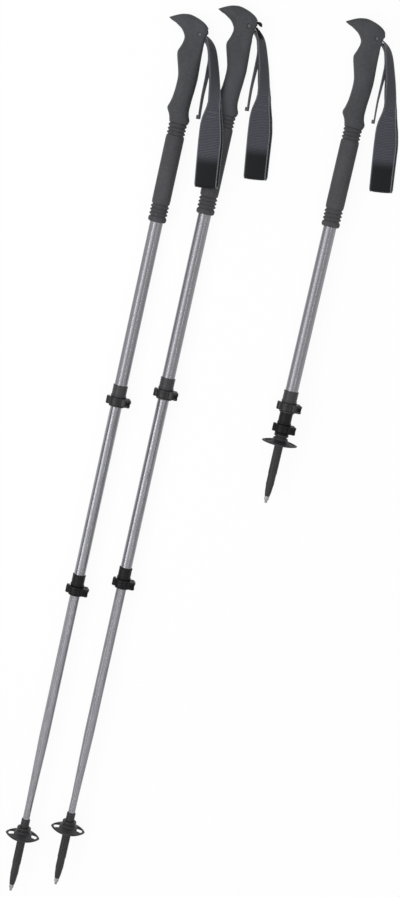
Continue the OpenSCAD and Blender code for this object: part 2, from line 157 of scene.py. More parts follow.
def skin(pole, name, grid, rise=0.0, across=None, along=None, loop=False, sharp=40, flat=False):
    """A mesh over a grid of points, whose row r and column c join to the next row and
    column, and whose last column joins the first. With loop the last row joins the first,
    and otherwise a fan, or with flat one face, closes each end. Across and along give the
    pattern's place of each column and row, in metres."""
    grid = pole.place(grid, rise)
    rows, cols = grid.shape[:2]
    high, wide = (rows if loop else rows - 1), cols
    r, c = (m.ravel() for m in np.meshgrid(np.arange(high), np.arange(wide), indexing="ij"))
    r1, c1 = (r + 1) % rows, (c + 1) % cols
    faces = np.stack([r * cols + c, r * cols + c1, r1 * cols + c1, r1 * cols + c], 1)
    points = grid.reshape(-1, 3)
    across = np.arange(wide + 1) / wide if across is None else np.asarray(across)
    along = np.arange(high + 1) / high if along is None else np.asarray(along)
    corners = ((0, 0), (1, 0), (1, 1), (0, 1))
    uv = np.stack([np.stack([across[c + i], along[r + j]], 1) for i, j in corners], 1)
    fans, fan_uv = np.zeros((0, 3), int), np.zeros((0, 3, 2))
    if not loop:
        k, last = np.arange(cols), (rows - 1) * cols
        after = (k + 1) % cols
        points = np.concatenate([points, grid[0].mean(0)[None], grid[-1].mean(0)[None]])
        low_fan = np.stack([after, k, np.full(cols, rows * cols)], 1)
        high_fan = np.stack([last + k, last + after, np.full(cols, rows * cols + 1)], 1)
        fans = np.concatenate([low_fan, high_fan])
        fan_uv = np.zeros((2 * cols, 3, 2))
        fan_uv[:cols, :, 1], fan_uv[cols:, :, 1] = along[0], along[-1]
        fan_uv[:, :, 0] = np.tile(across[k], 2)[:, None]
    if flat:
        k = np.arange(cols)
        points = points[: rows * cols]
        fans = np.stack([k[::-1], (rows - 1) * cols + k])
        low_uv = np.column_stack([across[k[::-1]], k * 0 + along[0]])
        high_uv = np.column_stack([across[k], k * 0 + along[-1]])
        fan_uv = np.stack([low_uv, high_uv])
    a, b, d = (points[faces[:, i]] for i in (0, 1, 3))
    if np.einsum("ij,ij->i", a - points.mean(0), np.cross(b - a, d - a)).sum() < 0:
        faces, uv, fans, fan_uv = (v[:, ::-1] for v in (faces, uv, fans, fan_uv))
    name = f"{pole.name}_{name}"
    mesh = bpy.data.meshes.new(name)
    mesh.from_pydata(points.tolist(), [], faces.tolist() + fans.tolist())
    layer = mesh.uv_layers.new(name="Pattern")
    places = np.concatenate([uv.reshape(-1), fan_uv.reshape(-1)])
    layer.data.foreach_set("uv", places.astype(np.float32))
    mesh.shade_smooth()
    mesh.set_sharp_from_angle(angle=math.radians(sharp))
    piece = bpy.data.objects.new(name, mesh)
    bpy.context.scene.collection.objects.link(piece)
    return piece


def rounds(count):
    """Angles shared out round a full turn."""
    return np.linspace(0, 2 * np.pi, count, endpoint=False)


def lengths(points):
    """How far along a broken line each of its points lies."""
    step = np.linalg.norm(np.diff(points, axis=0), axis=1)
    return np.concatenate([[0], np.cumsum(step)])


def along_line(points, share):
    """Points on a broken line at shares of its length."""
    p = np.array(points, float)
    length = lengths(p)
    at = np.asarray(share) * length[-1]
    return np.stack([np.interp(at, length, p[:, k]) for k in range(p.shape[1])], -1)


def unit(v):
    """Vectors made one long."""
    return v / np.maximum(np.linalg.norm(v, axis=-1, keepdims=True), 1e-9)


def turned(pole, name, outline, rise=0.0, corner=0.35, segments=96, sharp=40, narrowed=None):
    """A closed outline of (radius, height) turned round the pole's axis: at angle a each
    point stands at (radius cos a, radius sin a, height). narrowed(x, y) may change y."""
    outline = eased(outline, corner)
    a = rounds(segments) + np.pi / 2
    radius, height = outline[:, 0:1], outline[:, 1:2]
    x, y = radius * np.cos(a), radius * np.sin(a)
    grid = np.stack([x, y, np.broadcast_to(height, x.shape)], -1)
    if narrowed:
        grid[..., 1] = narrowed(grid[..., 0], grid[..., 1])
    along = lengths(np.concatenate([outline, outline[:1]])) * MM
    across = np.linspace(0, 2 * np.pi, segments + 1) * outline[:, 0].max() * MM
    return skin(pole, name, grid, rise, across, along, loop=True, sharp=sharp)


def cut(piece, *cutters):
    """Takes closed cutters out of a piece, and removes the cutters. The work is done a
    thousand times larger, where the solver's tolerance is small beside the walls."""
    for item in (piece, *cutters):
        item.data.transform(Matrix.Scale(1 / MM, 4))
    for cutter in cutters:
        tool = piece.modifiers.new("cut", "BOOLEAN")
        tool.operation, tool.solver, tool.object = "DIFFERENCE", "MANIFOLD", cutter
    bpy.context.view_layer.update()
    graph = bpy.context.evaluated_depsgraph_get()
    mesh = bpy.data.meshes.new_from_object(piece.evaluated_get(graph))
    if len(mesh.polygons) < len(piece.data.polygons) // 3:
        raise RuntimeError(f"{piece.name} was lost in its cuts")
    mesh.transform(Matrix.Scale(MM, 4))
    piece.modifiers.clear()
    old, piece.data = piece.data, mesh
    bpy.data.meshes.remove(old)
    for cutter in cutters:
        bpy.data.objects.remove(cutter)
    mesh.shade_smooth()
    mesh.set_sharp_from_angle(angle=math.radians(34))
    return piece


def block(pole, outline, low, high, plane="xz", rise=0.0):
    """A plain prism for cutting: an outline in one plane, raised along the third axis."""
    p = np.array(outline, float)
    order = {"xz": (0, 2, 1), "xy": (0, 1, 2)}[plane]
    rows = []
    for level in (low, high):
        ring = np.column_stack([p, np.full(len(p), level)])
        rows.append(ring[:, [order.index(i) for i in range(3)]])
    return skin(pole, "cutter", np.array(rows), rise, flat=True)


def rod(pole, centre, radius, low, high, axis="y", rise=0.0):
    """A round bar for cutting, along the Y or Z axis of the pole's frame."""
    a = rounds(40)
    circle = np.stack([centre[0] + radius * np.cos(a), centre[1] + radius * np.sin(a)], 1)
    return block(pole, circle, low, high, {"y": "xz", "z": "xy"}[axis], rise)


def finish_piece(piece, pole, part, slot, coat, *nodes):
    """Gives a piece its finish and body, and hides the solids it stands for. The slot is not used."""
    piece.data.materials.clear()
    piece.data.materials.append(finish(coat))
    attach(piece, pole.body(part))
    if nodes:
        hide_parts(*[f"{pole.name}_{n}" for n in nodes])
    return piece


# ------------------------------------------------------------------ finishes


class Value:
    """A value in a finish. Python's arithmetic on it adds Math nodes."""

    def __init__(self, finish, socket):
        self.finish, self.socket = finish, socket

    def math(self, operation, *values):
        return self.finish.add("ShaderNodeMath", {"operation": operation}, *values)

    def __add__(self, other):
        return self.math("ADD", self, other)

    __radd__ = __add__

    def __sub__(self, other):
        return self.math("SUBTRACT", self, other)

    def __rsub__(self, other):
        return self.math("SUBTRACT", other, self)

    def __mul__(self, other):
        return self.math("MULTIPLY", self, other)

    __rmul__ = __mul__

    def sine(self):
        return self.math("SINE", self)

    def size(self):
        return self.math("ABSOLUTE", self)

    def most(self, other):
        return self.math("MAXIMUM", self, other)

    def least(self, other):
        return self.math("MINIMUM", self, other)

    def ease(self, low, high):
        """0 below low, 1 above high and a smooth step between them."""
        step = {"interpolation_type": "SMOOTHSTEP"}
        return self.finish.add("ShaderNodeMapRange", step, self, low, high, 0.0, 1.0)


class Finish:
    """A node material in the making."""

    def __init__(self, name):
        self.material = bpy.data.materials.new(name)
        self.material.use_nodes = True
        self.tree = self.material.node_tree
        self.tree.nodes.clear()

    def feed(self, socket, value):
        if isinstance(value, Value):
            self.tree.links.new(value.socket, socket)
        else:
            socket.default_value = value

    def add(self, kind, settings=None, *values, out=0, **named):
        """A node of one type: its settings first, then its sockets by place or name."""
        node = self.tree.nodes.new(kind)
        for key, setting in (settings or {}).items():
            setattr(node, key, setting)
        for socket, value in zip(node.inputs, values):
            self.feed(socket, value)
        for key, value in named.items():
            self.feed(node.inputs[key.replace("_", " ")], value)
        return Value(self, node.outputs[out]) if node.outputs else None

    def blend(self, share, a, b):
        """Colour a turning into colour b as share goes from 0 to 1."""
        node = self.tree.nodes.new("ShaderNodeMix")
        node.data_type = "RGBA"
        sockets = {s.identifier: s for s in node.inputs}
        for key, value in (("Factor_Float", share), ("A_Color", a), ("B_Color", b)):
            self.feed(sockets[key], value)
        return Value(self, next(s for s in node.outputs if s.identifier == "Result_Color"))

    def place(self, scale=(1, 1, 1)):
        """The point in the object's frame, stretched."""
        where = self.add("ShaderNodeTexCoord", out=3)
        return self.add("ShaderNodeMapping", {"vector_type": "POINT"}, Vector=where, Scale=scale)

    def pattern(self):
        """Across and along the piece's own pattern, in metres."""
        where = self.add("ShaderNodeUVMap", {"uv_map": "Pattern"})
        split = self.add("ShaderNodeSeparateXYZ", None, where)
        return split, Value(self, split.socket.node.outputs[1])

    def join(self, x, y):
        """A point made of two numbers."""
        return self.add("ShaderNodeCombineXYZ", None, x, y, 0.0)

    def noise(self, where, scale, detail=2.0, roughness=0.5):
        sockets = {"Vector": where, "Scale": scale, "Detail": detail, "Roughness": roughness}
        return self.add("ShaderNodeTexNoise", None, **sockets)

    def bump(self, height, distance, strength=1.0):
        sockets = {"Height": height, "Distance": distance, "Strength": strength}
        return self.add("ShaderNodeBump", None, **sockets)

    def waves(self, along, apart):
        """Ribs that rise and fall between 0 and 1, a distance in metres apart."""
        return (along * (2 * math.pi / apart)).sine() * 0.5 + 0.5

    def surface(self, **sockets):
        """The Principled shader and the output."""
        shader = self.add("ShaderNodeBsdfPrincipled", None, **sockets)
        self.add("ShaderNodeOutputMaterial", None, shader)
        return self.material


def shade(colour, share):
    """A colour made darker or lighter, as linear light."""
    return (colour[0] * share, colour[1] * share, colour[2] * share, 1.0)


def foam_finish(name, colour):
    """Closed-cell foam: fine pits, soft blotches and a dry surface."""
    f = Finish(name)
    cells = f.noise(f.place(), 1500.0, 3.0, 0.6)
    blotch = f.noise(f.place((1, 0.35, 1)), 55.0, 3.0)
    speck = f.noise(f.place(), 330.0, 2.0, 0.6)
    tone = f.blend(blotch.ease(0.3, 0.7), shade(colour, 0.82), shade(colour, 1.08))
    tone = f.blend(cells.ease(0.55, 0.75) * 0.5, tone, shade(colour, 1.5))
    tone = f.blend(speck.ease(0.45, 0.7) * 0.3, tone, shade(colour, 1.5))
    return f.surface(
        Base_Color=tone,
        Roughness=0.62 + 0.2 * cells,
        Normal=f.bump(cells + 0.6 * f.noise(f.place(), 420.0), 0.00025, 0.55),
        Sheen_Weight=0.05,
        Sheen_Roughness=0.5,
        Specular_IOR_Level=0.3,
    )


def tube_finish(name, colour, grain):
    """Anodised tube: long die lines 1 to 3 mm apart round the tube. Grain deepens them
    and adds a wavy figure, which comes and goes along the tube."""
    f = Finish(name)
    across, along = f.pattern()
    line = f.noise(f.join(across * 520.0, along * 0.7), 1.0, 1.0, 0.5)
    fine = f.noise(f.join(across * 2600.0, along * 9.0), 1.0, 1.0)
    wave = f.noise(f.join(across * 260.0, along * 26.0), 1.0, 3.0, 0.6)
    figure = ((across * 1300.0 + wave * 6.0).sine() * 0.5 + 0.5) * wave.ease(0.5, 0.66)
    depth = (line - 0.5) * (1.4 + 4.2 * grain) + (fine - 0.5) * 0.35
    depth = depth - (figure - 0.2) * (0.6 * grain) + 0.5
    low, high = shade(colour, 0.6 - 0.12 * grain), shade(colour, 1.4 + 0.12 * grain)
    return f.surface(
        Base_Color=f.blend(depth.most(0.0).least(1.0), low, high),
        Metallic=0.95,
        Roughness=0.26 + 0.1 * fine + 0.05 * grain * figure,
        Normal=f.bump(depth, 0.00002, 0.3),
    )


def plastic_finish(name, colour, roughness=0.4, grit=0.2, gloss=0.4):
    """Moulded plastic: a fine sparked texture and faint colour drift."""
    f = Finish(name)
    spark = f.noise(f.place(), 2200.0, 2.0, 0.6)
    drift = f.noise(f.place(), 70.0, 2.0)
    tone = f.blend(drift, shade(colour, 0.85), shade(colour, 1.2))
    tone = f.blend(spark.ease(0.6, 0.8) * 0.4, tone, shade(colour, 1.7))
    return f.surface(
        Base_Color=tone,
        Roughness=roughness - 0.08 + 0.16 * spark,
        Normal=f.bump(spark, 0.00012, grit),
        Specular_IOR_Level=gloss,
    )


def steel_finish(name, colour, roughness=0.25):
    """Turned steel: fine rings and small scratches."""
    f = Finish(name)
    rings = f.noise(f.place((0.15, 1, 0.15)), 3000.0, 1.0)
    scratch = f.noise(f.place((1, 0.2, 1)), 900.0, 3.0, 0.7)
    tone = f.blend(scratch, shade(colour, 0.82), shade(colour, 1.1))
    return f.surface(
        Base_Color=tone,
        Metallic=1.0,
        Roughness=roughness - 0.05 + 0.12 * scratch,
        Normal=f.bump(rings, 0.00002, 0.3),
    )


def webbing_finish(name, colour):
    """Flat webbing: cross ribs 1.1 mm apart, warp ends 1.4 mm apart and a painted highlight along both edges."""
    f = Finish(name)
    across, along = f.pattern()
    rib = f.waves(along, 0.0011)
    warp = f.waves(across, 0.0014)
    cloth = rib * (0.6 + 0.4 * warp)
    fuzz = f.noise(f.place(), 1800.0, 2.0, 0.6)
    tone = f.blend(cloth, shade(colour, 0.55), shade(colour, 1.45))
    tone = f.blend(fuzz.ease(0.55, 0.8) * 0.45, tone, shade(colour, 2.2))
    # Painted highlight: the outer 2 mm of each edge lightened towards 2.1 times the colour.
    tone = f.blend(across.size().ease(0.0066, 0.0074) * 0.8, tone, shade(colour, 2.1))
    return f.surface(
        Base_Color=tone,
        Roughness=0.6 + 0.2 * fuzz,
        Normal=f.bump(cloth, 0.0003, 0.6),
        Sheen_Weight=0.06,
        Sheen_Roughness=0.4,
        Specular_IOR_Level=0.22,
    )


def pad_finish(name, colour, dark):
    """Ribbed padding: cross ribs 2.1 mm apart that waver, and a plainer weave that starts 75 mm
    along and runs round the fold, darkened there by painted shade where the loop bends."""
    f = Finish(name)
    across, along = f.pattern()
    drift = f.noise(f.place((1, 0.6, 1)), 90.0, 2.0) - 0.5
    rib = f.waves(along + drift * 0.0022 + across.size() * 0.04, 0.0021)
    warp = f.waves(across, 0.0012)
    fuzz = f.noise(f.place(), 1800.0, 2.0, 0.6)
    # panel: share of the plainer weave at the fold, darkened by painted shade
    panel = along.ease(0.066, 0.084)
    cloth = rib * (0.7 + 0.3 * warp)
    plain = 0.25 + 0.25 * warp
    tone = f.blend(cloth, shade(colour, 0.5), shade(colour, 1.4))
    tone = f.blend(fuzz.ease(0.5, 0.8) * 0.4, tone, shade(colour, 2.0))
    low = f.blend(plain, shade(dark, 0.7), shade(dark, 1.4))
    return f.surface(
        Base_Color=f.blend(panel, tone, low),
        Roughness=0.7 - 0.22 * panel,
        Normal=f.bump(cloth * (1 - panel) + 0.15 * plain * panel, 0.0004, 0.6),
        Sheen_Weight=0.04,
        Sheen_Roughness=0.4,
        Specular_IOR_Level=0.16,
    )


def thread_finish(name, colour):
    """Twisted thread or folded tape: short slanting strands along the piece."""
    f = Finish(name)
    across, along = f.pattern()
    strand = f.waves(along + across * 1.5, 0.0009)
    return f.surface(
        Base_Color=f.blend(strand, shade(colour, 0.75), shade(colour, 1.25)),
        Roughness=0.7,
        Normal=f.bump(strand, 0.0001, 0.5),
        Sheen_Weight=0.2,
    )


SEEN_BY = ("Is Camera Ray", "Is Glossy Ray", "Is Transmission Ray")


def studio_finish(name, strength, share):
    """A pale floor that shows white where it is seen, and still takes shadows."""
    f = Finish(name)
    rays = f.tree.nodes.new("ShaderNodeLightPath")
    seen = [Value(f, rays.outputs[n]) for n in SEEN_BY]
    white = (seen[0] + seen[1] + seen[2]).least(1.0) * share
    paper = f.add("ShaderNodeBsdfDiffuse", None, Color=(0.9, 0.9, 0.9, 1.0))
    glow = f.add("ShaderNodeEmission", None, Color=(1.0, 1.0, 1.0, 1.0), Strength=strength)
    both = f.add("ShaderNodeMixShader", None, white, paper, glow)
    f.add("ShaderNodeOutputMaterial", None, both)
    return f.material


# ------------------------------------------------------------------ sizes and colours


def width_of(node):
    """A node's width across the poles, at rest."""
    low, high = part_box(node)
    return round(high.x - low.x, 5)


def number_property(name, description, default, **kind):
    """A number shown in the panel."""
    return bpy.props.FloatProperty(name=name, description=description, default=default, **kind)


def length_property(name, description, default):
    return number_property(name, description, default, unit="LENGTH", precision=5)


def colour_property(name, description, default):
    return bpy.props.FloatVectorProperty(
        name=name, description=description, default=default, size=3, min=0, max=1, subtype="COLOR"
    )


class PoleSizes(bpy.types.PropertyGroup):
    """Sizes of the visible pieces."""

    upper_tube: length_property(
        "Upper tube", "Outer diameter of the upper tube", width_of("pole_1_upper_shaft")
    )
    middle_tube: length_property(
        "Middle tube", "Outer diameter of the middle tube", width_of("pole_1_middle_shaft")
    )
    lower_tube: length_property(
        "Lower tube", "Outer diameter of the lower tube", width_of("pole_1_lower_shaft")
    )
    foam: length_property(
        "Foam", "Diameter of the foam extension", width_of("pole_1_grip_extension")
    )
    grip_thickness: length_property("Grip", "Thickness of the grip from side to side", 0.028)
    basket: length_property("Basket", "Diameter of the basket", width_of("pole_1_basket"))
    ferrule: length_property("Ferrule", "Diameter of the ferrule's body", 0.0126)
    webbing_width: length_property("Webbing width", "Width of the webbing", 0.017)
    webbing_thickness: length_property("Webbing thickness", "Thickness of the webbing", 0.0016)
    pad_width: length_property("Pad width", "Width of the padded part of the strap", 0.030)
    pad_thickness: length_property(
        "Pad thickness", "Thickness of the padded part of the strap", 0.003
    )
    binding: length_property("Binding", "Width of the tape that binds the pad's edges", 0.0019)


class PoleColours(bpy.types.PropertyGroup):
    """Colours of the finishes, as linear light."""

    foam: colour_property("Grip foam", "Foam of the grip", (0.053, 0.054, 0.060))
    sleeve: colour_property(
        "Sleeve foam", "Foam of the extension below the grip", (0.054, 0.054, 0.060)
    )
    tube: colour_property("Tube", "Anodised aluminium", (0.255, 0.255, 0.275))
    clamp: colour_property("Clamp", "Plastic of the clamps", (0.026, 0.026, 0.029))
    lever: colour_property("Lever", "Plastic of the clamp levers", (0.005, 0.005, 0.006))
    foot: colour_property("Foot", "Plastic of the ferrule and basket", (0.016, 0.016, 0.018))
    webbing: colour_property("Webbing", "Strap webbing", (0.062, 0.063, 0.073))
    pad: colour_property("Pad", "Ribbed face of the strap's pad", (0.064, 0.065, 0.080))
    # The fold's colour is painted shade on the plainer weave at the strap's fold.
    panel: colour_property("Fold painted shade", "Painted shade on the plainer weave at the strap's fold", (0.006, 0.0065, 0.008))
    binding: colour_property("Binding", "Tape along the pad's edges", (0.11, 0.112, 0.125))
    steel: colour_property("Steel", "Strap pin and tip", (0.33, 0.33, 0.34))
    screw: colour_property("Screw", "Blackened clamp hardware", (0.012, 0.012, 0.013))
    guide: colour_property("Guide", "Plugs inside the tubes", (0.75, 0.52, 0.08))


class StudioSettings(bpy.types.PropertyGroup):
    """Light, floor and camera."""

    world: number_property("World", "Strength of the world on the object", 0.42)
    key: number_property("Key", "Power of the broad lamp overhead", 22.0, subtype="POWER")
    soft: number_property("Soft box", "Power of the soft box at the left", 8.0, subtype="POWER")
    strip: number_property("Strips", "Power of the strip lamps", 4.2, subtype="POWER")
    distance: length_property("Distance", "Camera to the middle of the view", 2.616)
    lens: number_property("Lens", "Focal length", 49.88, unit="CAMERA")
    roll: number_property("Roll", "Turn of the picture", math.radians(12.8), subtype="ANGLE")
    tilt: number_property(
        "Tilt", "Lean of the view towards the grips", math.radians(10.05), subtype="ANGLE"
    )
    across: length_property("Across", "Middle of the view, across the poles", -0.0046)
    along: length_property("Along", "Middle of the view, along the poles", 0.0394)


def sizes():
    return bpy.context.scene.pole_sizes


def colours():
    return bpy.context.scene.pole_colours


FINISHES = {}


def finish(name):
    """The finish of that name, made when it is first asked for."""
    if name not in FINISHES:
        c = colours()
        maker, *values = {
            "Grip foam": (foam_finish, c.foam),
            "Sleeve foam": (foam_finish, c.sleeve),
            "Plain tube": (tube_finish, c.tube, 0.0),
            "Figured tube": (tube_finish, c.tube, 0.55),
            "Clamp plastic": (plastic_finish, c.clamp, 0.42, 0.3),
            "Lever plastic": (plastic_finish, c.lever, 0.34, 0.2),
            # The lower clamp's copies of the two plastics are darker and less glossy: painted shade.
            "Dark clamp plastic": (plastic_finish, shade(c.clamp, 0.28), 0.42, 0.3, 0.16),
            "Dark lever plastic": (plastic_finish, c.lever, 0.34, 0.2, 0.16),
            "Foot plastic": (plastic_finish, c.foot, 0.5, 0.4),
            "Wedge plastic": (plastic_finish, shade(c.lever, 0.4), 0.45, 0.1, 0.15),
            "Guide plastic": (plastic_finish, c.guide, 0.4, 0.1),
            "Strap webbing": (webbing_finish, c.webbing),
            "Strap pad": (pad_finish, c.pad, c.panel),
            "Pad binding": (thread_finish, c.binding),
            "Tip steel": (steel_finish, c.steel),
            "Screw steel": (steel_finish, c.screw, 0.35),
            "Pin steel": (steel_finish, shade(c.steel, 0.4), 0.45),
        }[name]
        FINISHES[name] = maker(name, *values)
    return FINISHES[name]


# ------------------------------------------------------------------ grip

GRIP_LOW = 400.5  # lower end of the grip, up the axis
# Height above the grip's lower end, and the outline's distance in front of the axis.
GRIP_FRONT = [
    (0, 12.6), (4, 13.3), (9, 14.8), (14, 17.6), (17.3, 20), (21, 18.6), (25.3, 17), (34.5, 15),
    (45, 14), (56, 13.6), (64, 14.2), (72, 16.3), (81, 19), (88, 21.1), (93.8, 22.1), (97, 20.8),
    (101, 18.9), (107.7, 16.9), (111.7, 16.2), (115.7, 16.9), (120.4, 19.6), (124.3, 23), (127, 27),
    (130.3, 32.4), (132.3, 37.8), (134.9, 42.5),
]
# Height, and the outline's distance behind the axis.
GRIP_REAR = [
    (0, 12.8), (4.7, 15), (7, 14.2), (12, 12), (18.5, 10.9), (32, 11.3), (45, 12.4), (61, 13.3),
    (72, 12.9), (85, 12.2), (98, 11.5), (111.7, 11.5), (118.4, 12.2), (123, 12.4), (126.4, 15.3),
    (131, 13.5), (135.7, 9.5), (139.7, 2.7), (142.3, -4), (144.3, -10.8), (145, -17),
    (143.6, -25.5), (141, -32), (138, -38), (135.4, -42.5),
]
# Height, or share of the way round the head, and the part of half the grip's thickness.
GRIP_SIDE = [(0, 0.9), (17, 1.0), (45, 0.95), (62, 0.94), (94, 1.0), (112, 0.96)]
HEAD_SIDE = [
    (0, 0.96), (0.2, 0.98), (0.4, 0.95), (0.6, 0.84), (0.8, 0.6), (0.93, 0.4), (0.98, 0.25),
    (1, 0.1),
]
NECK = 111.7  # height above the grip's lower end at which the head starts
PIN = (3.5, 0.0, 521.8)  # the strap pin's middle
PIN_RADIUS = 2.0


def grip_surface(pole):
    """The grip: sections between a front and a rear outline. Below the neck a section is
    level; above it the two outlines are shared out by length, so that the sections turn
    round the head to the beak's point. Each section is a rounded square: at angle a it
    reaches cos a and sin a, each to the power 2 / fullness, and it is fuller at the rear
    of the head. A bell-shaped groove runs round the head 4.2 mm inside its rear edge."""
    front, rear, side = (np.array(t, float) for t in (GRIP_FRONT, GRIP_REAR, GRIP_SIDE))
    h = np.linspace(0, NECK, 170)
    low_front = np.stack([-np.interp(h, front[:, 0], front[:, 1]), h], 1)
    neck_row = int(np.argmax(rear[:, 0] >= NECK))
    below = rear[: neck_row + 1]
    low_rear = np.stack([np.interp(h, below[:, 0], below[:, 1]), h], 1)
    share = np.linspace(0, 1, 111)[1:]
    head = front[front[:, 0] >= NECK]
    top_front = along_line(np.stack([-head[:, 1], head[:, 0]], 1), share)
    top_rear = along_line(rear[neck_row:, ::-1], share)
    f = smoothed(np.concatenate([low_front, top_front]), 7)
    r = smoothed(np.concatenate([low_rear, top_rear]), 6)
    half = sizes().grip_thickness / MM / 2
    thick = half * np.concatenate([
        np.interp(h, side[:, 0], side[:, 1]),
        np.interp(share, *np.array(HEAD_SIDE).T),
    ])
    thick = smoothed(thick[:, None], 7)
    front_full = np.concatenate([
        np.full(len(h), 2.4),
        np.interp(share, [0, 0.3, 0.8, 1], [2.4, 2.8, 2.6, 2.2]),
    ])
    rear_full = np.concatenate([
        np.interp(h, [0, 85, 104], [2.4, 2.4, 5]),
        np.interp(share, [0, 0.45, 0.7, 1], [5, 5, 2.8, 2.2]),
    ])
    a = (rounds(72) + np.pi / 72)[None]
    full = np.where(np.cos(a) > 0, rear_full[:, None], front_full[:, None])
    ca = np.sign(np.cos(a)) * np.abs(np.cos(a)) ** (2 / full)
    sa = np.sign(np.sin(a)) * np.abs(np.sin(a)) ** (2 / full)
    middle, reach = (f + r) / 2, (r - f) / 2
    x = middle[:, 0:1] + reach[:, 0:1] * ca
    z = middle[:, 1:2] + reach[:, 1:2] * ca
    inset = np.linalg.norm(reach, axis=1)[:, None] * (1 - ca)
    head_part = np.clip((np.arange(len(f)) - len(h)) / 12, 0, 1)[:, None]
    thick = thick - 0.45 * head_part * np.exp(-(((inset - 4.2) / 0.8) ** 2))
    grid = np.stack([x, thick * sa, GRIP_LOW + z], -1)
    return skin(pole, "grip_foam", grid, sharp=50)


# Outlines of the two openings in the head, from the strap pin.
STRAP_SLOT = [(-5.2, -4.5), (-5.2, 5.2), (30, 5.2), (30, -19), (8.5, -19), (6, -12), (0, -6.5)]
WEDGE_SLOT = [(-2.8, 5.0), (30, 5.0), (30, 9.8), (8, 9.8), (-2.8, 8.3)]


def about_pin(outline):
    """An outline given from the strap pin, in the pole's frame."""
    return [(PIN[0] + x, PIN[2] + z) for x, z in outline]


def make_grip(pole):
    """The grip with its strap slot, its wedge pocket, the bore for the tube and the
    countersunk hole of the strap pin."""
    piece = grip_surface(pole)
    cutters = [
        block(pole, about_pin(STRAP_SLOT), -9.5, 9.5),
        block(pole, about_pin(WEDGE_SLOT), -10.8, 10.8),
        rod(pole, (0, 0), UPPER_BORE, 395, 507, "z"),
        rod(pole, (PIN[0], PIN[2]), 2.15, -20, 20),
        rod(pole, (PIN[0], PIN[2]), 3.5, -20, -12.3),
        rod(pole, (PIN[0], PIN[2]), 3.5, 12.3, 20),
    ]
    cut(piece, *cutters)
    return finish_piece(piece, pole, "upper", "grip_foam", "Grip foam", "grip")


def make_sleeve(pole):
    """Foam extension: a bead, three rings, a long plain barrel and three more rings."""
    r = sizes().foam / MM / 2
    low, length, groove, bead = 263.0, 137.5, r - 2.2, 8.0
    heights = (bead + 0.8, bead + 5.8, bead + 10.8)
    rings = [[(groove, z), (r, z + 1.8), (r, z + 3.0)] for z in heights]
    heights = (length - 16.4, length - 11.4, length - 6.4)
    tops = [[(groove, z), (r, z + 1.9), (r, z + 3.1)] for z in heights]
    outline = (
        [
            (UPPER_BORE, 0), (r - 2.5, 0), (r - 0.8, 1), (r, 3), (r, 5.4), (r - 0.9, 7.4),
            (groove, bead),
        ]
        + sum(rings, [])
        + [
            (groove, bead + 16.2), (r - 0.3, bead + 18), (r, bead + 24), (r, length - 22),
            (r - 0.3, length - 18),
        ]
        + sum(tops, [])
        + [(groove + 0.6, length), (UPPER_BORE, length)]
    )
    piece = turned(pole, "sleeve_foam", outline, low, corner=0.7, sharp=60)
    return finish_piece(piece, pole, "upper", "sleeve_foam", "Sleeve foam", "grip_extension")


# ------------------------------------------------------------------ wrist strap

# The loop: place across and along from the pin, share of its lie, the webbing's turn
# about its line in degrees, and half the gap between the front run and the back run.
STRAP_RUN = np.array([
    (7.5, -1.2, 0, 4, 1.9), (12.3, -4.2, 0, 14, 0.95), (16.6, -9, 0.02, 25, 0.95),
    (20.5, -17, 0.08, 36, 1.0), (24, -28, 0.2, 42, 1.4), (30.2, -49, 0.45, 48, 2.2),
    (34.1, -66, 0.7, 62, 3), (37.6, -80, 0.88, 78, 3.8), (39, -88, 0.95, 84, 4.2),
    (40, -109, 1, 90, 4.5), (44.4, -135, 1, 90, 4.5), (48, -165, 1, 90, 4.5),
    (51, -189, 1, 90, 4.5),
])
# The hanging end: place across and along from the pin, share of its lie, turn in degrees.
TAIL_RUN = np.array([
    (21.2, -45, 0.3, 15), (21, -62, 0.5, 11), (20.8, -78, 0.6, 9), (21.6, -94, 0.65, 8),
    (22.8, -110, 0.7, 7),
])
BACK_SLIP = 3.0  # how far the back run lies across from the front run at the fold
PAD_TOP = -84.0  # upper end of the pad, along from the pin
PAD_OVERLAP = 8  # how far the webbing runs on inside the pad
FOLD_DROP = 3.5  # how far the fold hangs below the last row of the run
CROSSING_LIE = -22.0  # the fold's Y on pole 1, whose strap lies on pole 2's grip
FREE_LIE = 8.0  # the fold's Y on the other poles, and on every pole the free end's


def resting_shift(pole, share):
    """How far the strap lies up (-) or down (+) from the pole's axis."""
    if pole.number == 1:
        return CROSSING_LIE * np.minimum(1, 1.6 * share)
    return FREE_LIE * share


def cloth_frame(points, turn):
    """The outward face and the width direction of cloth along a line, turned about it by
    angle a in degrees. With t along the line and e square to t and to the pin, the face
    is e cos a - w sin a and the width is w cos a + e sin a, where w is e x t."""
    t = unit(np.gradient(points, axis=0))
    e = unit(np.cross(t, (0.0, 1.0, 0.0)))
    w = np.cross(e, t)
    a = np.radians(turn)
    return e * np.cos(a) - w * np.sin(a), w * np.cos(a) + e * np.sin(a)


def strap_run(pole, steps=150):
    """The loop's middle line from the pin to the fold, with the webbing's outward face,
    its width direction, half the gap between its two runs and the back run's slip."""
    run = STRAP_RUN
    place = np.stack([PIN[0] + run[:, 0], resting_shift(pole, run[:, 2]), PIN[2] + run[:, 1]], 1)
    data = np.concatenate([place, run[:, 3:]], 1)
    length = lengths(place)
    at = np.linspace(0, length[-1], steps)
    data = np.stack([np.interp(at, length, data[:, k]) for k in range(5)], 1)
    data = smoothed(data, 7)
    p = data[:, :3]
    face, wide = cloth_frame(p, data[:, 3:4])
    slip = np.zeros_like(p)
    lie = resting_shift(pole, np.array([1.0]))[0]
    slip[:, 0] = BACK_SLIP * np.clip(p[:, 1] / lie, 0, 1)
    return p, face, wide, data[:, 4:5], slip


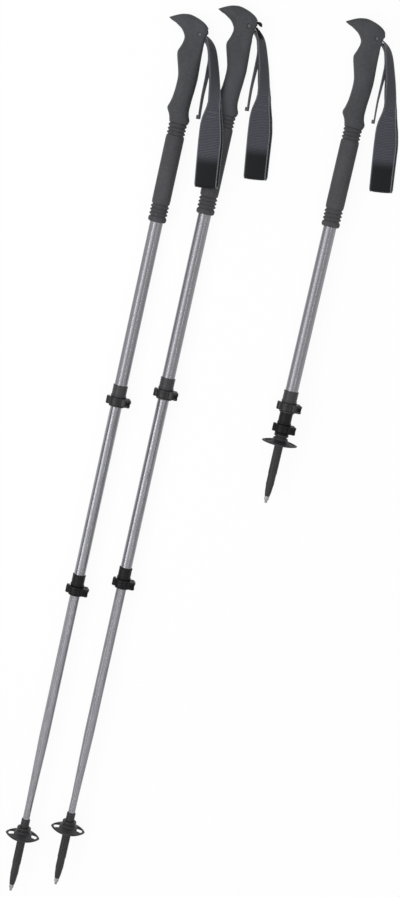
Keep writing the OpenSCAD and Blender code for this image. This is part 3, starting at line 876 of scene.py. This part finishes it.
def band(
    pole, name, middle, face, wide, width, thickness, columns=15, edge=0.7, power=4.0, seam=0.0
):
    """Flat cloth carried along a line: across the width, at u from -1 to 1, each face
    stands off by half the thickness times edge + (1 - edge)(1 - |u| ^ power), less a
    sewn groove near each side."""
    u = np.sin(np.linspace(-np.pi / 2, np.pi / 2, columns))
    groove = seam * np.exp(-(((np.abs(u) - 0.84) / 0.05) ** 2))
    stand = edge + (1 - edge) * (1 - np.abs(u) ** power) - groove
    width, thickness = (
        np.broadcast_to(np.asarray(v, float).reshape(-1, 1, 1), (len(middle), 1, 1))
        for v in (width, thickness)
    )
    sides = []
    for sign, order in ((1, slice(None)), (-1, slice(None, None, -1))):
        sides.append(
            middle[:, None]
            + wide[:, None] * u[order][None, :, None] * width / 2
            + sign * face[:, None] * stand[order][None, :, None] * thickness / 2
        )
    grid = np.concatenate(sides, 1)
    across = np.concatenate([u, u[::-1], u[:1]]) * float(width.mean()) / 2 * MM
    along = lengths(middle) * MM
    return skin(pole, name, grid, 0.0, across, along, sharp=45)


def tape(pole, name, middle, face, wide, half_width, half_height):
    """Round-edged tape carried along a line: an oval section of the two half sizes."""
    a = rounds(12)[None, :, None]
    out, up = wide[:, None] * np.cos(a) * half_width, face[:, None] * np.sin(a) * half_height
    grid = middle[:, None] + out + up
    across = np.linspace(0, 2 * np.pi * half_width, 13) * MM
    along = lengths(middle) * MM
    return skin(pole, name, grid, 0.0, across, along, sharp=60)


def make_webbing(pole):
    """One band: up the back run from the pad, round the strap pin and down the front run."""
    p, face, wide, gap, slip = strap_run(pole)
    keep = p[:, 2] - PIN[2] >= PAD_TOP - PAD_OVERLAP
    front = (p + face * gap)[keep]
    back = (p - face * gap + slip)[keep]
    broad, thick = sizes().webbing_width / MM, sizes().webbing_thickness / MM
    radius = PIN_RADIUS + thick / 2 + PART_GAP
    a = np.radians(np.linspace(264, 96, 25))[:, None]
    radial = np.concatenate([np.cos(a), 0 * a, np.sin(a)], 1)
    over = np.array(PIN) + radius * radial
    middle = np.concatenate([back[::-1], over, front])
    faces = np.concatenate([-face[keep][::-1], radial, face[keep]])
    level = np.tile((0.0, 1.0, 0.0), (len(a), 1))
    wides = np.concatenate([wide[keep][::-1], level, wide[keep]])
    middle = smoothed(middle, 3)
    piece = band(pole, "webbing", middle, unit(faces), unit(wides), broad, thick, seam=0.12)
    return finish_piece(piece, pole, "strap", "webbing", "Strap webbing", "wrist_strap")


def make_tail(pole):
    """The free end: beside the back run first, then hanging, with a folded hem."""
    p, face, _, gap, _ = strap_run(pole)
    broad, thick = sizes().webbing_width / MM, sizes().webbing_thickness / MM
    start = (p[:, 2] - PIN[2] >= -30) & (p[:, 2] - PIN[2] < -2)
    first = (p - face * (gap + thick + 0.4))[start]
    run = TAIL_RUN
    rest = np.stack([PIN[0] + run[:, 0], FREE_LIE * run[:, 2], PIN[2] + run[:, 1]], 1)
    line = np.concatenate([first[::6], rest])
    turn = np.concatenate([np.linspace(8, 24, len(first[::6])), run[:, 3]])
    line = along_line(np.concatenate([line, turn[:, None]], 1), np.linspace(0, 1, 90))
    line = smoothed(line, 9)
    middle = line[:, :3]
    face, wide = cloth_frame(middle, line[:, 3:4])
    piece = band(pole, "strap_tail", middle, face, wide, broad, thick, seam=0.12)
    finish_piece(piece, pole, "strap", "webbing", "Strap webbing", "wrist_strap")
    last = slice(-5, None)
    over = middle[last] - face[last] * (thick + 0.5)
    stub = band(pole, "strap_hem", over, face[last], wide[last], broad - 0.6, thick + 1.0)
    return finish_piece(stub, pole, "strap", "webbing", "Strap webbing")


def pad_line(pole):
    """The pad's middle line down the front run, round the fold and up the back run."""
    p, face, wide, gap, slip = strap_run(pole)
    keep = p[:, 2] - PIN[2] <= PAD_TOP
    p, face, wide, gap, slip = p[keep], face[keep], wide[keep], gap[keep], slip[keep]
    t = unit(p[-1] - p[-2])
    p, face, wide, gap, slip = (np.concatenate([v, v[-1:]]) for v in (p, face, wide, gap, slip))
    p[-1] += FOLD_DROP * t
    g = gap[-1, 0]
    a = np.radians(np.linspace(8, 172, 21))[:, None]
    round_fold = face[-1] * np.cos(a) + t * np.sin(a)
    fold = p[-1] + round_fold * g + slip[-1] * (1 - np.cos(a)) / 2
    middle = np.concatenate([p + face * gap, fold, (p - face * gap + slip)[::-1]])
    faces = np.concatenate([face, round_fold, -face[::-1]])
    wides = np.concatenate([wide, np.tile(wide[-1], (len(a), 1)), wide[::-1]])
    below = PIN[2] - p[:, 2]
    depth = np.concatenate([below, np.full(len(a), 195.0), below[::-1]])
    narrow, broad = sizes().webbing_width / MM, sizes().pad_width / MM
    widths = [narrow, 18.5, broad - 6, broad - 2, broad + 0.5, broad - 0.5]
    width = np.interp(depth, [84, 92, 104, 116, 135, 195], widths)
    width = smoothed(width[:, None], 5)[:, 0]
    return middle, unit(faces), unit(wides), width, depth


def make_pad(pole):
    """The pad: a crowned band with sewn edges, and a tape bound round each edge."""
    middle, face, wide, width, depth = pad_line(pole)
    thick = sizes().pad_thickness / MM
    grown = np.interp(depth, [86, 92, 112, 200], [0.55 * thick, 0.75 * thick, thick, thick])
    crown = {"columns": 41, "edge": 0.55, "power": 2.6, "seam": 0.22}
    piece = band(pole, "pad_cloth", middle, face, wide, width, grown, **crown)
    finish_piece(piece, pole, "strap", "strap_padding", "Strap pad", "strap_pad")
    half = sizes().binding / MM / 2
    for side, tag in ((1, "outer"), (-1, "inner")):
        line = middle + wide * side * (width / 2 - half * 0.6)[:, None]
        edge = tape(pole, f"binding_{tag}", line, face, wide, half, 0.42 * thick)
        finish_piece(edge, pole, "strap", "webbing", "Pad binding")
    at = np.argmin(np.abs(depth[: len(depth) // 2] - 97))
    for k, lift in ((at, 0), (at + 5, 1)):
        u = np.linspace(-0.8, 0.8, 30)[:, None]
        line = middle[k] + wide[k] * u * width[k] / 2 + face[k] * (grown[k] / 2 + 0.12)
        line = line + unit(middle[k + 1] - middle[k]) * 0.35 * np.sign(np.sin(u * 60))
        up, out = (np.tile(v, (len(u), 1)) for v in (face[k], np.cross(wide[k], face[k])))
        seam = tape(pole, f"stitch_{lift}", line, up, out, 0.28, 0.22)
        finish_piece(seam, pole, "strap", "webbing", "Pad binding")
    return piece


def make_tab(pole, name, part, line, thick, wide_mm, *nodes):
    """A black tab along a line beside the head, given from the strap pin."""
    share = np.linspace(0, 1, 24)
    line = smoothed(along_line(line, share), 3)
    middle = np.stack([PIN[0] + line[:, 0], 0 * share, PIN[2] + line[:, 1]], 1)
    t = unit(np.gradient(middle, axis=0))
    face = unit(np.cross(t, (0.0, 1.0, 0.0)))
    wide = np.tile((0.0, 1.0, 0.0), (len(share), 1))
    thick, across = (np.interp(share, np.linspace(0, 1, len(v)), v) for v in (thick, wide_mm))
    piece = band(pole, name, middle, face, wide, across, thick, edge=0.8)
    return finish_piece(piece, pole, part, "black_plastic", "Wedge plastic", *nodes)


def make_keeper(pole):
    """The wedge that is drawn out, whose end turns down, and the strap's tab below it."""
    nose = [(5.6, 6.8), (8.2, 7.0), (10.8, 7.1), (13.0, 6.7), (14.9, 5.4), (16.5, 3.5)]
    thick, across = [2.4, 2.6, 3.0, 4.4, 4.6, 1.8], [20.6, 20.6, 20.6, 18.4, 17.6, 16]
    make_tab(pole, "wedge_tab", "wedge", nose, thick, across, "strap_wedge")
    leaf = [(10.2, 0.9), (11.8, -2.0), (16.2, -6.0), (21.6, -11.6)]
    make_tab(pole, "strap_keeper", "strap", leaf, [1.8, 4.4, 4.2, 1.4], [16, 16])


# ------------------------------------------------------------------ tubes

TUBE_FOOT = 1  # lower end of the two upper tubes, on the clamp's floor
UPPER_TOP, MIDDLE_TOP, LOWER_TOP = 505, 501, 470
LOWER_FOOT = -22  # lower end of the lowest tube, inside the ferrule
NECK_RADIUS, TAPER = 5.0, (37.0, 137.0)  # the lowest tube's neck, and where it widens

def straight(radius, top):
    """The wall of a straight tube."""
    inside = radius - TUBE_WALL
    return [(inside, TUBE_FOOT), (radius, TUBE_FOOT), (radius, top), (inside, top)]


def make_tubes(pole):
    """Three tubes with plain walls and rounded rims; the lowest one tapers to the foot's neck."""
    s, wall = sizes(), TUBE_WALL
    upper, middle, lower = (d / MM / 2 for d in (s.upper_tube, s.middle_tube, s.lower_tube))
    piece = turned(pole, "upper_tube", straight(upper, UPPER_TOP), corner=0.2)
    finish_piece(piece, pole, "upper", "tube_aluminium", "Plain tube", "upper_shaft")
    piece = turned(pole, "middle_tube", straight(middle, MIDDLE_TOP), pole.middle, corner=0.2)
    finish_piece(piece, pole, "middle", "tube_aluminium", "Figured tube", "middle_shaft")
    neck, (low, high) = NECK_RADIUS, TAPER
    outline = [
        (neck - wall, LOWER_FOOT), (neck, LOWER_FOOT), (neck, low), (lower, high),
        (lower, LOWER_TOP), (lower - wall, LOWER_TOP), (lower - wall, high), (neck - wall, low),
    ]
    piece = turned(pole, "lower_tube", outline, pole.lower, corner=0.2, sharp=30)
    finish_piece(piece, pole, "lower", "tube_aluminium", "Figured tube", "lower_shaft")


# ------------------------------------------------------------------ clamps


def clamp_outline(r, inner):
    """Half section of a clamp: collar, catch-light rim and sleeve."""
    return [
        (inner, 0), (r + 2.1, 0), (r + 2.1, 1.5), (r + 1.6, 1.9), (r + 1.6, 14.2), (r + 2.0, 14.6),
        (r + 2.0, 16.4), (r + 1.2, 17.0), (r + 1.2, 28.6), (r + 1.45, 29.2), (r + 1.45, 30.5),
        (r + 0.1, 30.5), (r + 0.1, 1), (inner, 1),
    ]


def lever_band(pole, name, r, rise):
    """A lever: one section carried from the prong, over the collar, to the round eye about
    the pivot pin. Each section joins a point of the inner line to one of the outer line,
    over the lever's height, with its four corners rounded."""
    inner, outer = r + 2.1, r + 4.6
    px, py, cam = r + PIVOT_REACH, -PIVOT_UP, EYE_RADIUS
    arc = np.radians(np.linspace(213, 300, 30))
    near = np.radians(np.concatenate([[182, 189, 200], np.linspace(213, 300, 30), [312, 322]]))
    eye = np.radians(np.linspace(-112, 96, 30))
    outside = np.concatenate([
        [(-outer - 2.2, 2.4), (-outer - 2.2, -0.4), (-outer - 2.2, -4.4), (-outer - 0.3, -6.6)],
        outer * np.stack([np.cos(arc), np.sin(arc)], 1),
        [(px - 4.6, py - cam - 0.2), (px - 2.9, py - cam)],
        np.stack([px + cam * np.cos(eye), py + cam * np.sin(eye)], 1),
    ])
    share = np.linspace(0, 1, len(eye))
    inside = np.concatenate([
        [(-inner - 0.1, 2.4)],
        inner * np.stack([np.cos(near), np.sin(near)], 1),
        np.stack([r + 0.45 + share * (px - r - 1.3), -5.88 + 0.02 * share], 1),
    ])
    span = np.linalg.norm(outside - inside, axis=1)
    a = np.radians(np.linspace(0, 90, 5))
    e = np.minimum(0.9, 0.4 * span)[:, None]
    curve, low = 1 - np.sin(a)[None], 1 - np.cos(a)[None]
    ease, rise_in = e * low / span[:, None], e * curve
    back = slice(None, None, -1)
    reach = np.concatenate([1 - ease[:, back], 1 - ease, ease[:, back], ease], 1)
    level = np.concatenate([
        LEVER_LOW + rise_in[:, back], LEVER_HIGH - rise_in,
        LEVER_HIGH - rise_in[:, back], LEVER_LOW + rise_in,
    ], 1)
    flat = inside[:, None] + (outside - inside)[:, None] * reach[..., None]
    grid = np.concatenate([flat, level[..., None]], -1)
    return skin(pole, name, grid, rise)


def make_clamp(pole, which):
    """A clamp's sleeve with two ears, and its lever with the window of the eye screw."""
    upper = which == "upper"
    s = sizes()
    r = (s.upper_tube if upper else s.middle_tube) / MM / 2
    inner = (s.middle_tube if upper else s.lower_tube) / MM / 2 + PART_GAP
    rise = 0.0 if upper else pole.middle
    body = "upper" if upper else "middle"
    # The lower clamp gets the darker copies of its plastics, which are painted shade.
    plastic = "Clamp plastic" if upper else "Dark clamp plastic"
    lever_plastic = "Lever plastic" if upper else "Dark lever plastic"
    piece = turned(pole, f"{which}_sleeve", clamp_outline(r, inner), rise, corner=0.4)
    finish_piece(piece, pole, body, "clamp_plastic", plastic, f"{which}_clamp")
    reach = r + 9.3
    for side, tag in ((-1, "near"), (1, "far")):
        outline = [
            (r - 0.6, 1.8), (reach - 2.6, 1.8), (reach, 4.2),
            (reach, 11.4), (reach - 2.6, 13.8), (r - 0.6, 13.8),
        ]
        low, high = sorted((side * 1.0, side * 5.5))
        ear = side_prism(pole, f"{which}_ear_{tag}", outline, low, high, rise)
        finish_piece(ear, pole, body, "clamp_plastic", plastic)
    lever = lever_band(pole, f"{which}_lever_band", r, rise)
    px, mid = r + PIVOT_REACH, LEVER_MIDDLE
    low, high = mid - WINDOW_HALF, mid + WINDOW_HALF
    window = [(px - 2.3, -20), (px + 12, -20), (px + 12, 20), (px - 2.3, 20)]
    mark = [(-5.5, -r - 6), (1.5, -r - 6), (1.5, -r - 3.6), (-5.5, -r - 3.6)]
    cutters = [
        block(pole, window, low, high, "xy", rise),
        rod(pole, (px, -PIVOT_UP), EYE_RADIUS, low, high, "z", rise),
        rod(pole, (px, -PIVOT_UP), 2.08, 0, 20, "z", rise),
        block(pole, mark, mid + 1.2, mid + 3.2, "xy", rise),
    ]
    cut(lever, *cutters)
    finish_piece(
        lever, pole, f"{which}_lever_body", "lever_plastic", lever_plastic, f"{which}_lever"
    )


def make_clamps(pole):
    """Both clamps of a pole."""
    make_clamp(pole, "upper")
    make_clamp(pole, "lower")


def side_prism(pole, name, outline, low, high, rise, edge=0.5):
    """A prism whose outline lies in the pole's XZ plane, raised along Y. Its two rims are
    rounded: at angle a a rim is drawn in by edge (1 - sin a)."""
    p = eased(outline, 0.8)
    on = np.roll(p, -1, 0) - np.roll(p, 1, 0)
    out = unit(np.stack([on[:, 1], -on[:, 0]], 1))
    a = np.radians(np.linspace(0, 90, 4))
    inset = np.concatenate([edge * (1 - np.sin(a)), edge * (1 - np.sin(a[::-1]))])
    level = np.concatenate([low + edge * (1 - np.cos(a)), high - edge * (1 - np.cos(a[::-1]))])
    flat = p[None] - out[None] * inset[:, None, None]
    level = np.broadcast_to(level[:, None], flat.shape[:2])
    grid = np.stack([flat[..., 0], level, flat[..., 1]], -1)
    return skin(pole, name, grid, rise, flat=True)


# ------------------------------------------------------------------ foot


def make_ferrule(pole):
    """The ferrule: a turned taper whose middle is fluted. A flute takes away up to its
    depth times the eighth-turn cosine's positive part."""
    r = sizes().ferrule / MM / 2
    profile = [
        (0.3, -90), (3.6, -90), (4.7, -83), (5.3, -75), (5.7, -73.5), (5.7, -59), (r - 0.1, -56),
        (r, 12), (r - 0.6, 13), (5.05, 13),
    ]
    share = np.linspace(0, 1, 240)
    line = along_line(profile, share)
    a = rounds(128)[None]
    z = line[:, 1:2]
    depth = 0.8 * np.clip((z + 55) / 3, 0, 1) * np.clip((-19 - z) / 3, 0, 1)
    flute = np.clip(np.cos(8 * a), 0, 1) ** 0.6
    radius = line[:, 0:1] - depth * flute
    grid = np.stack([radius * np.cos(a), radius * np.sin(a), np.broadcast_to(z, radius.shape)], -1)
    piece = skin(pole, "tip_shaft", grid, pole.lower, sharp=50)
    return finish_piece(piece, pole, "lower", "ferrule_plastic", "Foot plastic", "ferrule")


def make_basket(pole):
    """The basket: a turned hub, cone and rim, with a window cut through each side. The
    rim is drawn in to a blunt point at each end: outside the hub, y is multiplied by
    (1 - (x / rim) ^ 2) ^ 0.3."""
    rim = sizes().basket / MM / 2

    def pointed(x, y):
        outside = np.clip((np.hypot(x, y) - 13) / 8, 0, 1)
        return y * (1 - outside * (1 - np.clip(1 - (x / rim) ** 2, 0, 1) ** 0.3))

    hub, z, t = sizes().ferrule / MM / 2 + 3.9, -13.0, 2.6
    inner = sizes().ferrule / MM / 2 + GLUE_GAP
    outline = [
        (inner, 0), (hub - 0.6, 0), (hub, -0.8), (hub, -2.8), (hub - 1.8, -3.4), (hub - 1.8, -5),
        (hub + 0.2, -5.6), (hub + 0.2, -7.4), (hub + 1.6, -8.6), (rim - 3, z + t / 2 + 0.5),
        (rim - 0.6, z + t / 2), (rim, z + t / 2 - 0.7), (rim, z - t / 2 + 0.6),
        (rim - 0.8, z - t / 2), (rim - 3.4, z - t / 2), (hub - 1.4, z + 0.4), (hub - 2.4, z - 2.4),
        (inner, z - 2.4),
    ]
    shape = {"corner": 0.5, "segments": 128, "narrowed": pointed}
    piece = turned(pole, "snow_basket", outline, pole.lower, **shape)
    a = np.radians(np.linspace(-27, 27, 20))
    cutters = []
    for side in (1, -1):
        outer = [(side * (rim - 3.4) * math.cos(k), (rim - 3.4) * 0.9 * math.sin(k)) for k in a]
        near = [(side * 13.2 * math.cos(k * 1.6), 13.2 * math.sin(k * 1.6)) for k in a[::-1]]
        cutters.append(block(pole, outer + near, -26, 4, "xy", pole.lower))
    cut(piece, *cutters)
    return finish_piece(piece, pole, "lower", "basket_plastic", "Foot plastic", "basket")


def make_tip(pole):
    """The steel tip: a cone under a collar."""
    outline = [
        (0.2, 0.9), (0.7, 0), (1.5, 0), (1.9, 0.6), (2.1, 3.4), (3.3, 5.2), (3.3, 9.95), (2, 9.95),
        (2, 18), (0.2, 18),
    ]
    piece = turned(pole, "steel_tip", outline, pole.lower - FOOT_LENGTH, corner=0.25)
    return finish_piece(piece, pole, "lower", "tip_steel", "Tip steel", "carbide_tip")


KEPT = {
    "strap_pin": "Pin steel",
    "strap_wedge": "Wedge plastic",
    "middle_guide": "Guide plastic",
    "lower_guide": "Guide plastic",
    "upper_lever_fastener": "Screw steel",
    "lower_lever_fastener": "Screw steel",
}


def coat_kept_solids(pole):
    """Finishes for the solids whose own shape is shown."""
    for node, name in KEPT.items():
        solid = frame["nodes"][f"{pole.name}_{node}"]
        solid.data.materials.clear()
        solid.data.materials.append(finish(name))


# ------------------------------------------------------------------ stage

# Metres in the object's frame.
FLOOR_LEVEL, FLOOR_REACH = -0.0003, 6.0
VIEW_HEIGHT = 0.019  # of the point that the camera looks at


def pose(x, y, z, where):
    """The matrix that puts something at a place with its axes along x, y and z."""
    return Matrix([[x[i], y[i], z[i], where[i]] for i in range(3)] + [[0, 0, 0, 1]])


def make_floor(scene):
    """A white floor just under the poles."""
    mesh = bpy.data.meshes.new("floor")
    corners = [(-1, -1), (1, -1), (1, 1), (-1, 1)]
    points = [(FLOOR_REACH * x, FLOOR_REACH * y, FLOOR_LEVEL) for x, y in corners]
    mesh.from_pydata(points, [], [(0, 1, 2, 3)])
    mesh.materials.append(studio_finish("Floor", 1.0, 0.93))
    floor = bpy.data.objects.new("floor", mesh)
    scene.collection.objects.link(floor)


def make_world(scene, strength):
    """A grey world that looks white where it is seen, so that it lights less than it shows."""
    world = bpy.data.worlds.new("Studio")
    scene.world = world
    world.use_nodes = True
    tree = world.node_tree
    tree.nodes.clear()
    kinds = ("ShaderNodeLightPath", "ShaderNodeBackground", "ShaderNodeOutputWorld")
    rays, glow, out = (tree.nodes.new(kind) for kind in kinds)
    seen = rays.outputs[SEEN_BY[0]]
    for name in SEEN_BY[1:]:
        node = tree.nodes.new("ShaderNodeMath")
        node.operation = "MAXIMUM"
        tree.links.new(seen, node.inputs[0])
        tree.links.new(rays.outputs[name], node.inputs[1])
        seen = node.outputs[0]
    level = tree.nodes.new("ShaderNodeMapRange")
    tree.links.new(seen, level.inputs["Value"])
    level.inputs["To Min"].default_value, level.inputs["To Max"].default_value = strength, 1.0
    tree.links.new(level.outputs[0], glow.inputs["Strength"])
    tree.links.new(glow.outputs[0], out.inputs[0])


def make_lamp(scene, name, where, size, power):
    """A rectangular lamp that faces a point near the middle of the poles. The key lamp
    leaves no highlight of its own."""
    light = bpy.data.lights.new(name, "AREA")
    light.shape, light.energy = "RECTANGLE", power
    light.size, light.size_y = size
    lamp = bpy.data.objects.new(name, light)
    lamp.visible_glossy = name != "key"
    scene.collection.objects.link(lamp)
    z = unit(np.array(where) - np.array((0, where[1] * 0.9, 0)))
    x = unit(np.cross((0.0, 1.0, 0.0), z))
    lamp.matrix_world = pose(x, np.cross(z, x), z, where)


def make_camera(scene, settings):
    """The camera: it leans from the vertical by the tilt and turns about its own line of
    sight by the roll, at a distance from the middle of the view."""
    lens = bpy.data.cameras.new("camera")
    lens.sensor_fit, lens.sensor_height, lens.lens = "VERTICAL", 24.0, settings.lens
    camera = bpy.data.objects.new("camera", lens)
    scene.collection.objects.link(camera)
    scene.camera = camera
    back = np.array((0.0, math.sin(settings.tilt), math.cos(settings.tilt)))
    level_x, level_y = np.array((1.0, 0, 0)), np.cross(back, (1.0, 0, 0))
    right = level_x * math.cos(settings.roll) + level_y * math.sin(settings.roll)
    middle = np.array((settings.across, settings.along, VIEW_HEIGHT))
    where = middle + back * settings.distance
    camera.matrix_world = pose(right, np.cross(back, right), back, where)


def make_stage(settings):
    """The floor, the world, a broad lamp, a soft box, two strips and the camera."""
    scene = bpy.context.scene
    scene.view_settings.view_transform = "Standard"
    make_floor(scene)
    make_world(scene, settings.world)
    make_lamp(scene, "key", (-0.3, 0.1, 2.2), (1.8, 2.2), settings.key)
    make_lamp(scene, "soft_left", (-0.82, 0.1, 1.26), (1.2, 2.6), settings.soft)
    make_lamp(scene, "strip_left", (-0.95, 0.1, 1.1), (0.07, 2.6), settings.strip)
    make_lamp(scene, "strip_right", (0.75, 0.1, 1.25), (0.06, 2.6), settings.strip * 0.6)
    make_camera(scene, settings)


# ------------------------------------------------------------------ operators


class PoleStep:
    """A step that runs its makers on one pole after another."""

    makers = ()

    def execute(self, context):
        for pole in POLES:
            for make in self.makers:
                make(pole)
        return {"FINISHED"}


class BuildStage(bpy.types.Operator):
    """Make the floor, the lamps and the camera"""

    bl_idname = "poles.build_stage"
    bl_label = "Stage"

    def execute(self, context):
        make_stage(context.scene.pole_studio)
        return {"FINISHED"}


class BuildGrips(PoleStep, bpy.types.Operator):
    """Make the grips and their foam extensions"""

    bl_idname = "poles.build_grips"
    bl_label = "Grips"
    makers = (make_grip, make_sleeve)


class BuildStraps(PoleStep, bpy.types.Operator):
    """Make the wrist straps: webbing, free ends, pads and their bindings"""

    bl_idname = "poles.build_straps"
    bl_label = "Wrist straps"
    makers = (make_webbing, make_tail, make_pad)

    def execute(self, context):
        PoleStep.execute(self, context)
        make_keeper(POLES[1])
        return {"FINISHED"}


class BuildTubes(PoleStep, bpy.types.Operator):
    """Make the three tubes of each pole"""

    bl_idname = "poles.build_tubes"
    bl_label = "Tubes"
    makers = (make_tubes,)


class BuildClamps(PoleStep, bpy.types.Operator):
    """Make the clamps and their levers"""

    bl_idname = "poles.build_clamps"
    bl_label = "Clamps"
    makers = (make_clamps,)


class BuildFeet(PoleStep, bpy.types.Operator):
    """Make the ferrules, baskets and tips"""

    bl_idname = "poles.build_feet"
    bl_label = "Feet"
    makers = (make_ferrule, make_basket, make_tip)


class CoatSolids(PoleStep, bpy.types.Operator):
    """Give the pins, wedges, guides and screws their finishes"""

    bl_idname = "poles.coat_solids"
    bl_label = "Small hardware"
    makers = (coat_kept_solids,)


STEPS = (BuildStage, BuildGrips, BuildStraps, BuildTubes, BuildClamps, BuildFeet, CoatSolids)


class PolesPanel(bpy.types.Panel):
    """Lists the steps that build the poles"""

    bl_idname = "VIEW3D_PT_poles"
    bl_label = "Trekking Poles"
    bl_space_type = "VIEW_3D"
    bl_region_type = "UI"
    bl_category = "Poles"

    def draw(self, context):
        for step in STEPS:
            self.layout.operator(step.bl_idname)
        for group in (getattr(context.scene, name) for name in GROUPS):
            column = self.layout.column(align=True)
            for name in group.__annotations__:
                column.prop(group, name)


GROUPS = {"pole_sizes": PoleSizes, "pole_colours": PoleColours, "pole_studio": StudioSettings}


def register():
    for cls in (*GROUPS.values(), *STEPS, PolesPanel):
        bpy.utils.register_class(cls)
    for name, group in GROUPS.items():
        setattr(bpy.types.Scene, name, bpy.props.PointerProperty(type=group))


def unregister():
    for name in GROUPS:
        delattr(bpy.types.Scene, name)
    for cls in (PolesPanel, *reversed(STEPS), *GROUPS.values()):
        bpy.utils.unregister_class(cls)


def main():
    """Registers the add-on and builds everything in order."""
    register()
    for step in STEPS:
        group, name = step.bl_idname.split(".")
        getattr(getattr(bpy.ops, group), name)()


if __name__ == "__main__":
    main()
